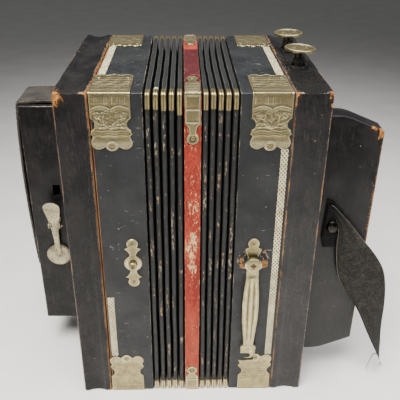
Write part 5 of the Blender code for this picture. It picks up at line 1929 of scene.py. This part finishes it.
def anchor():
    """A stitched double patch of leather on the keyboard, and the domed stud through it."""
    back = SHELL_LOW[1] - 0.3
    build = Build()
    layers = (
        ([(107.9, 184.0), (115.2, 180.8), (121.6, 160.0), (122.0, 138.2), (108.9, 138.2),
          (106.3, 148.7)], 0.0, 1.3, 2),
        ([(108.6, 180.0), (114.8, 177.6), (120.4, 158.0), (121.6, 148.8), (107.6, 148.6)], 1.3, 2.5, 5),
    )
    for outline, near, far, seed in layers:
        def place(u, v, height, base=near, seed=seed):
            return u, back - base - height - 0.12 * wave(u, v, 0, 5, seed), v
        pressed(build, outline, place, None, step=0.9, thick=far - near - 0.1, rim=-0.12)
    del build.values["relief"]
    build.values["wear"] = [0.0] * len(build.verts)
    seams = (((109.2, 178), (107.9, 151)), ((119.3, 158), (114.4, 175.6)), ((108.6, 150.4), (120.4, 150.4)))
    for (ax, az), (bx, bz) in seams:
        steps = max(2, int(math.hypot(bx - ax, bz - az) / 2.4))
        for i in range(steps):
            t0, t1 = i / steps, (i + 0.55) / steps
            a = Vector((ax + (bx - ax) * t0, back - 2.45, az + (bz - az) * t0))
            b = Vector((ax + (bx - ax) * t1, back - 2.45, az + (bz - az) * t1))
            build.tube([a, (a + b) / 2 + Vector((0, -0.3, 0)), b], 0.3, 6, wear=[1.0] * 18)
    obj = build.piece("thumb_strap_anchor_patch", LEATHER_DARK, "treble_side", "leather", 45)
    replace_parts(obj, "thumb_strap_anchor")
    stud = Build()
    profile = [(5.2, 1.8), (5.8, 2.2), (5.8, 2.9), (5.3, 3.7), (4.0, 4.5), (2.4, 4.95), (0.9, 5.1),
               (0.02, 5.12)]
    stud.turned([(r, -t) for r, t in profile], "y", (STUD[0], back, STUD[1]), 40)
    stud.piece("thumb_strap_stud", METAL_DARK, "treble_side", "nickel_silver", 60)


# ---------------------------------------------------------------- stops


def stops():
    """The two stops on top: each a turned stem under a pressed disc, in a collar."""
    for k in (1, 2):
        node = f"stop_knob_{k}"
        low, high = node_box(node)
        x, y = (low[0] + high[0]) / 2, (low[1] + high[1]) / 2
        radius = (high[0] - low[0]) / 2
        top = high[2]
        lean = 0.045 if k == 1 else -0.02

        def tipped(build):
            build.verts = [(vx + (vz - TOP) * lean, vy, vz - (vx - x) * lean) for vx, vy, vz in build.verts]

        stem = Build()
        profile = [(3.9, -18), (3.9, -1), (4.5, 1.2), (4.7, 3.0), (4.9, 3.6), (4.9, 4.4), (4.7, 5.0),
                   (4.5, 8.4)]
        profile += [(4.8, 10.2), (5.8, 10.9), (6.4, 11.3)]
        stem.turned(profile, "z", (x, y, TOP), 36)
        tipped(stem)
        body = f"stop_{k}"
        obj = stem.piece(f"{node}_stem", STEM_PAINT, body, "ebonised_wood", 40)
        seed = k * 3.1

        def pattern(r, turn):
            if r > radius - 1.6:
                return 0.0
            petals = 0.26 * math.cos(turn * 6 + 1.2 * math.sin(r)) * math.exp(-((r - 5.2) / 2.4) ** 2)
            beads = 0.22 * max(0.0, math.cos(turn * 22)) * math.exp(-((r - 9.3) / 0.7) ** 2)
            rings = 0.2 * math.exp(-((r - 7.9) / 0.35) ** 2) + 0.2 * math.exp(-((r - 2.1) / 0.5) ** 2)
            rough = 0.14 * wave(r * math.cos(turn), r * math.sin(turn), 0, 1.6, seed)
            return petals + beads + rings + rough

        face = Build()
        under = top - TOP - 2.6
        profile = [(0.02, under), (6, under), (radius - 1.0, under + 0.1), (radius - 0.2, under + 0.45)]
        profile += [(radius, under + 1.0), (radius, under + 1.7)]
        profile += [(radius - 0.25, under + 2.3), (radius - 0.8, under + 2.55)]
        profile += [(radius - 1.4, under + 2.35)]
        profile += [(r, under + 2.05 + 0.12 * math.cos(r / 4)) for r in np.arange(radius - 1.9, 0.4, -0.55)]
        profile.append((0.05, under + 2.2))

        rows, looks = [], []
        for i, (r, t) in enumerate(profile):
            row = []
            for j in range(96):
                a = 2 * math.pi * j / 96
                rise = pattern(max(r, 0.02), a) if i >= 9 else 0.0
                row.append((x + r * math.cos(a), y + r * math.sin(a), TOP + t + rise))
                # Each ring's tone: a painted highlight on the raised pattern and round the disc's rim, a
                # little darker over the face.
                looks.append(0.5 + rise * 1.4 + (0.3 if 5 <= i <= 8 else 0) - (0.12 if i >= 9 else 0))
            rows.append(row)
        face.grid(rows, closed_v=True, caps=("start", "end"), relief=[min(1, max(0, v)) for v in looks])
        tipped(face)
        disc = face.piece(f"{node}_disc", METAL, body, "nickel_silver", 40)
        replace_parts(disc, node)
        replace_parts(obj, node)
        collar = Build()
        section = [(5.5, -1.2), (5.5, 0.5), (5.8, 0.8), (6.6, 0.75), (7.3, 0.4), (7.4, -1.2)]
        turns = np.linspace(0, 2 * math.pi, 48, False)
        rows = [[(x + r * math.cos(a), y + r * math.sin(a), TOP + t) for a in turns] for r, t in section]
        collar.grid(rows, closed_u=True, closed_v=True)
        collar.piece(f"stop_{k}_collar", STEM_PAINT, "treble_side", "ebonised_wood", 40)


# ---------------------------------------------------------------- the carried-over solids and the stage


def carried_over():
    """Finishes for the CAD nodes that show as they are."""
    paints = {"treble_lever": WOOD, "reed_block": WOOD, "key_rod": STEEL, "bracket": METAL_SPOTTED,
              "end_panel": PANEL_PAINT}
    for node, obj in frame["nodes"].items():
        for part, paint in paints.items():
            if part in node:
                for place in obj.material_slots:
                    place.material = paint


FLOOR_REACH = 5000


def floor():
    """A pale floor at the instrument's foot."""
    p = Paint("pale_floor")
    mottle = p.noise(60, detail=4, rough=0.5)
    fine = p.noise(1.2, detail=3)
    colour = p.mix(p.step(mottle, 0.3, 0.7), (0.83, 0.81, 0.775), (0.89, 0.87, 0.835))
    mat = p.finish(colour, p.step(fine, 0.3, 0.7, 0.62, 0.75), p.bump(fine, 0.05, 0.4))
    low = min(cad_low[2], 0) / MM - 0.05
    verts = [(x * FLOOR_REACH, y * FLOOR_REACH, low) for x, y in ((-1, -1), (1, -1), (1, 1), (-1, 1))]
    piece("studio_floor", verts, [(0, 1, 2, 3)], mat, None, recalc=False)


def lights():
    """A soft key light, two fills and a dim world."""
    area_light("key", (-0.20, -0.42, 1.0), (0.01, -0.10, 0.0), (0.6, 0.6), 5.7, (1.0, 0.975, 0.93), 75)
    area_light("fill", (0.75, -0.55, 0.85), (0.02, 0, 0.10), (0.7, 0.7), 2.2, (0.97, 0.98, 1.0), 90)
    area_light("top", (0.10, 0.20, 1.15), (0, 0, 0.1), (0.9, 0.7), 2.6, spread=90)
    world = bpy.data.worlds.new("studio")
    world.use_nodes = True
    background = world.node_tree.nodes["Background"].inputs
    background["Color"].default_value = (0.84, 0.85, 0.87, 1)
    background["Strength"].default_value = 0.12
    bpy.context.scene.world = world


look()
floor()
lights()
carried_over()
for side in SIDE:
    moulded_case(side)
    bellows_frame(side)
    fold_clips(side, *folds(side))
joint_edges()
edging_strips()
corner_plates()
middle_frame()
middle_clips()
catch()
clasp()
bass_box()
hand_strap()
spoon_key("air_key", AIR_X, BOX_LOW[1], -1, 10.9)
for k in (1, 2):
    spoon_key(f"bass_key_{k}", BASS_X[k - 1], BOX_HIGH[1], 1, 8.0)
keyboard()
anchor()
thumb_strap()
stops()
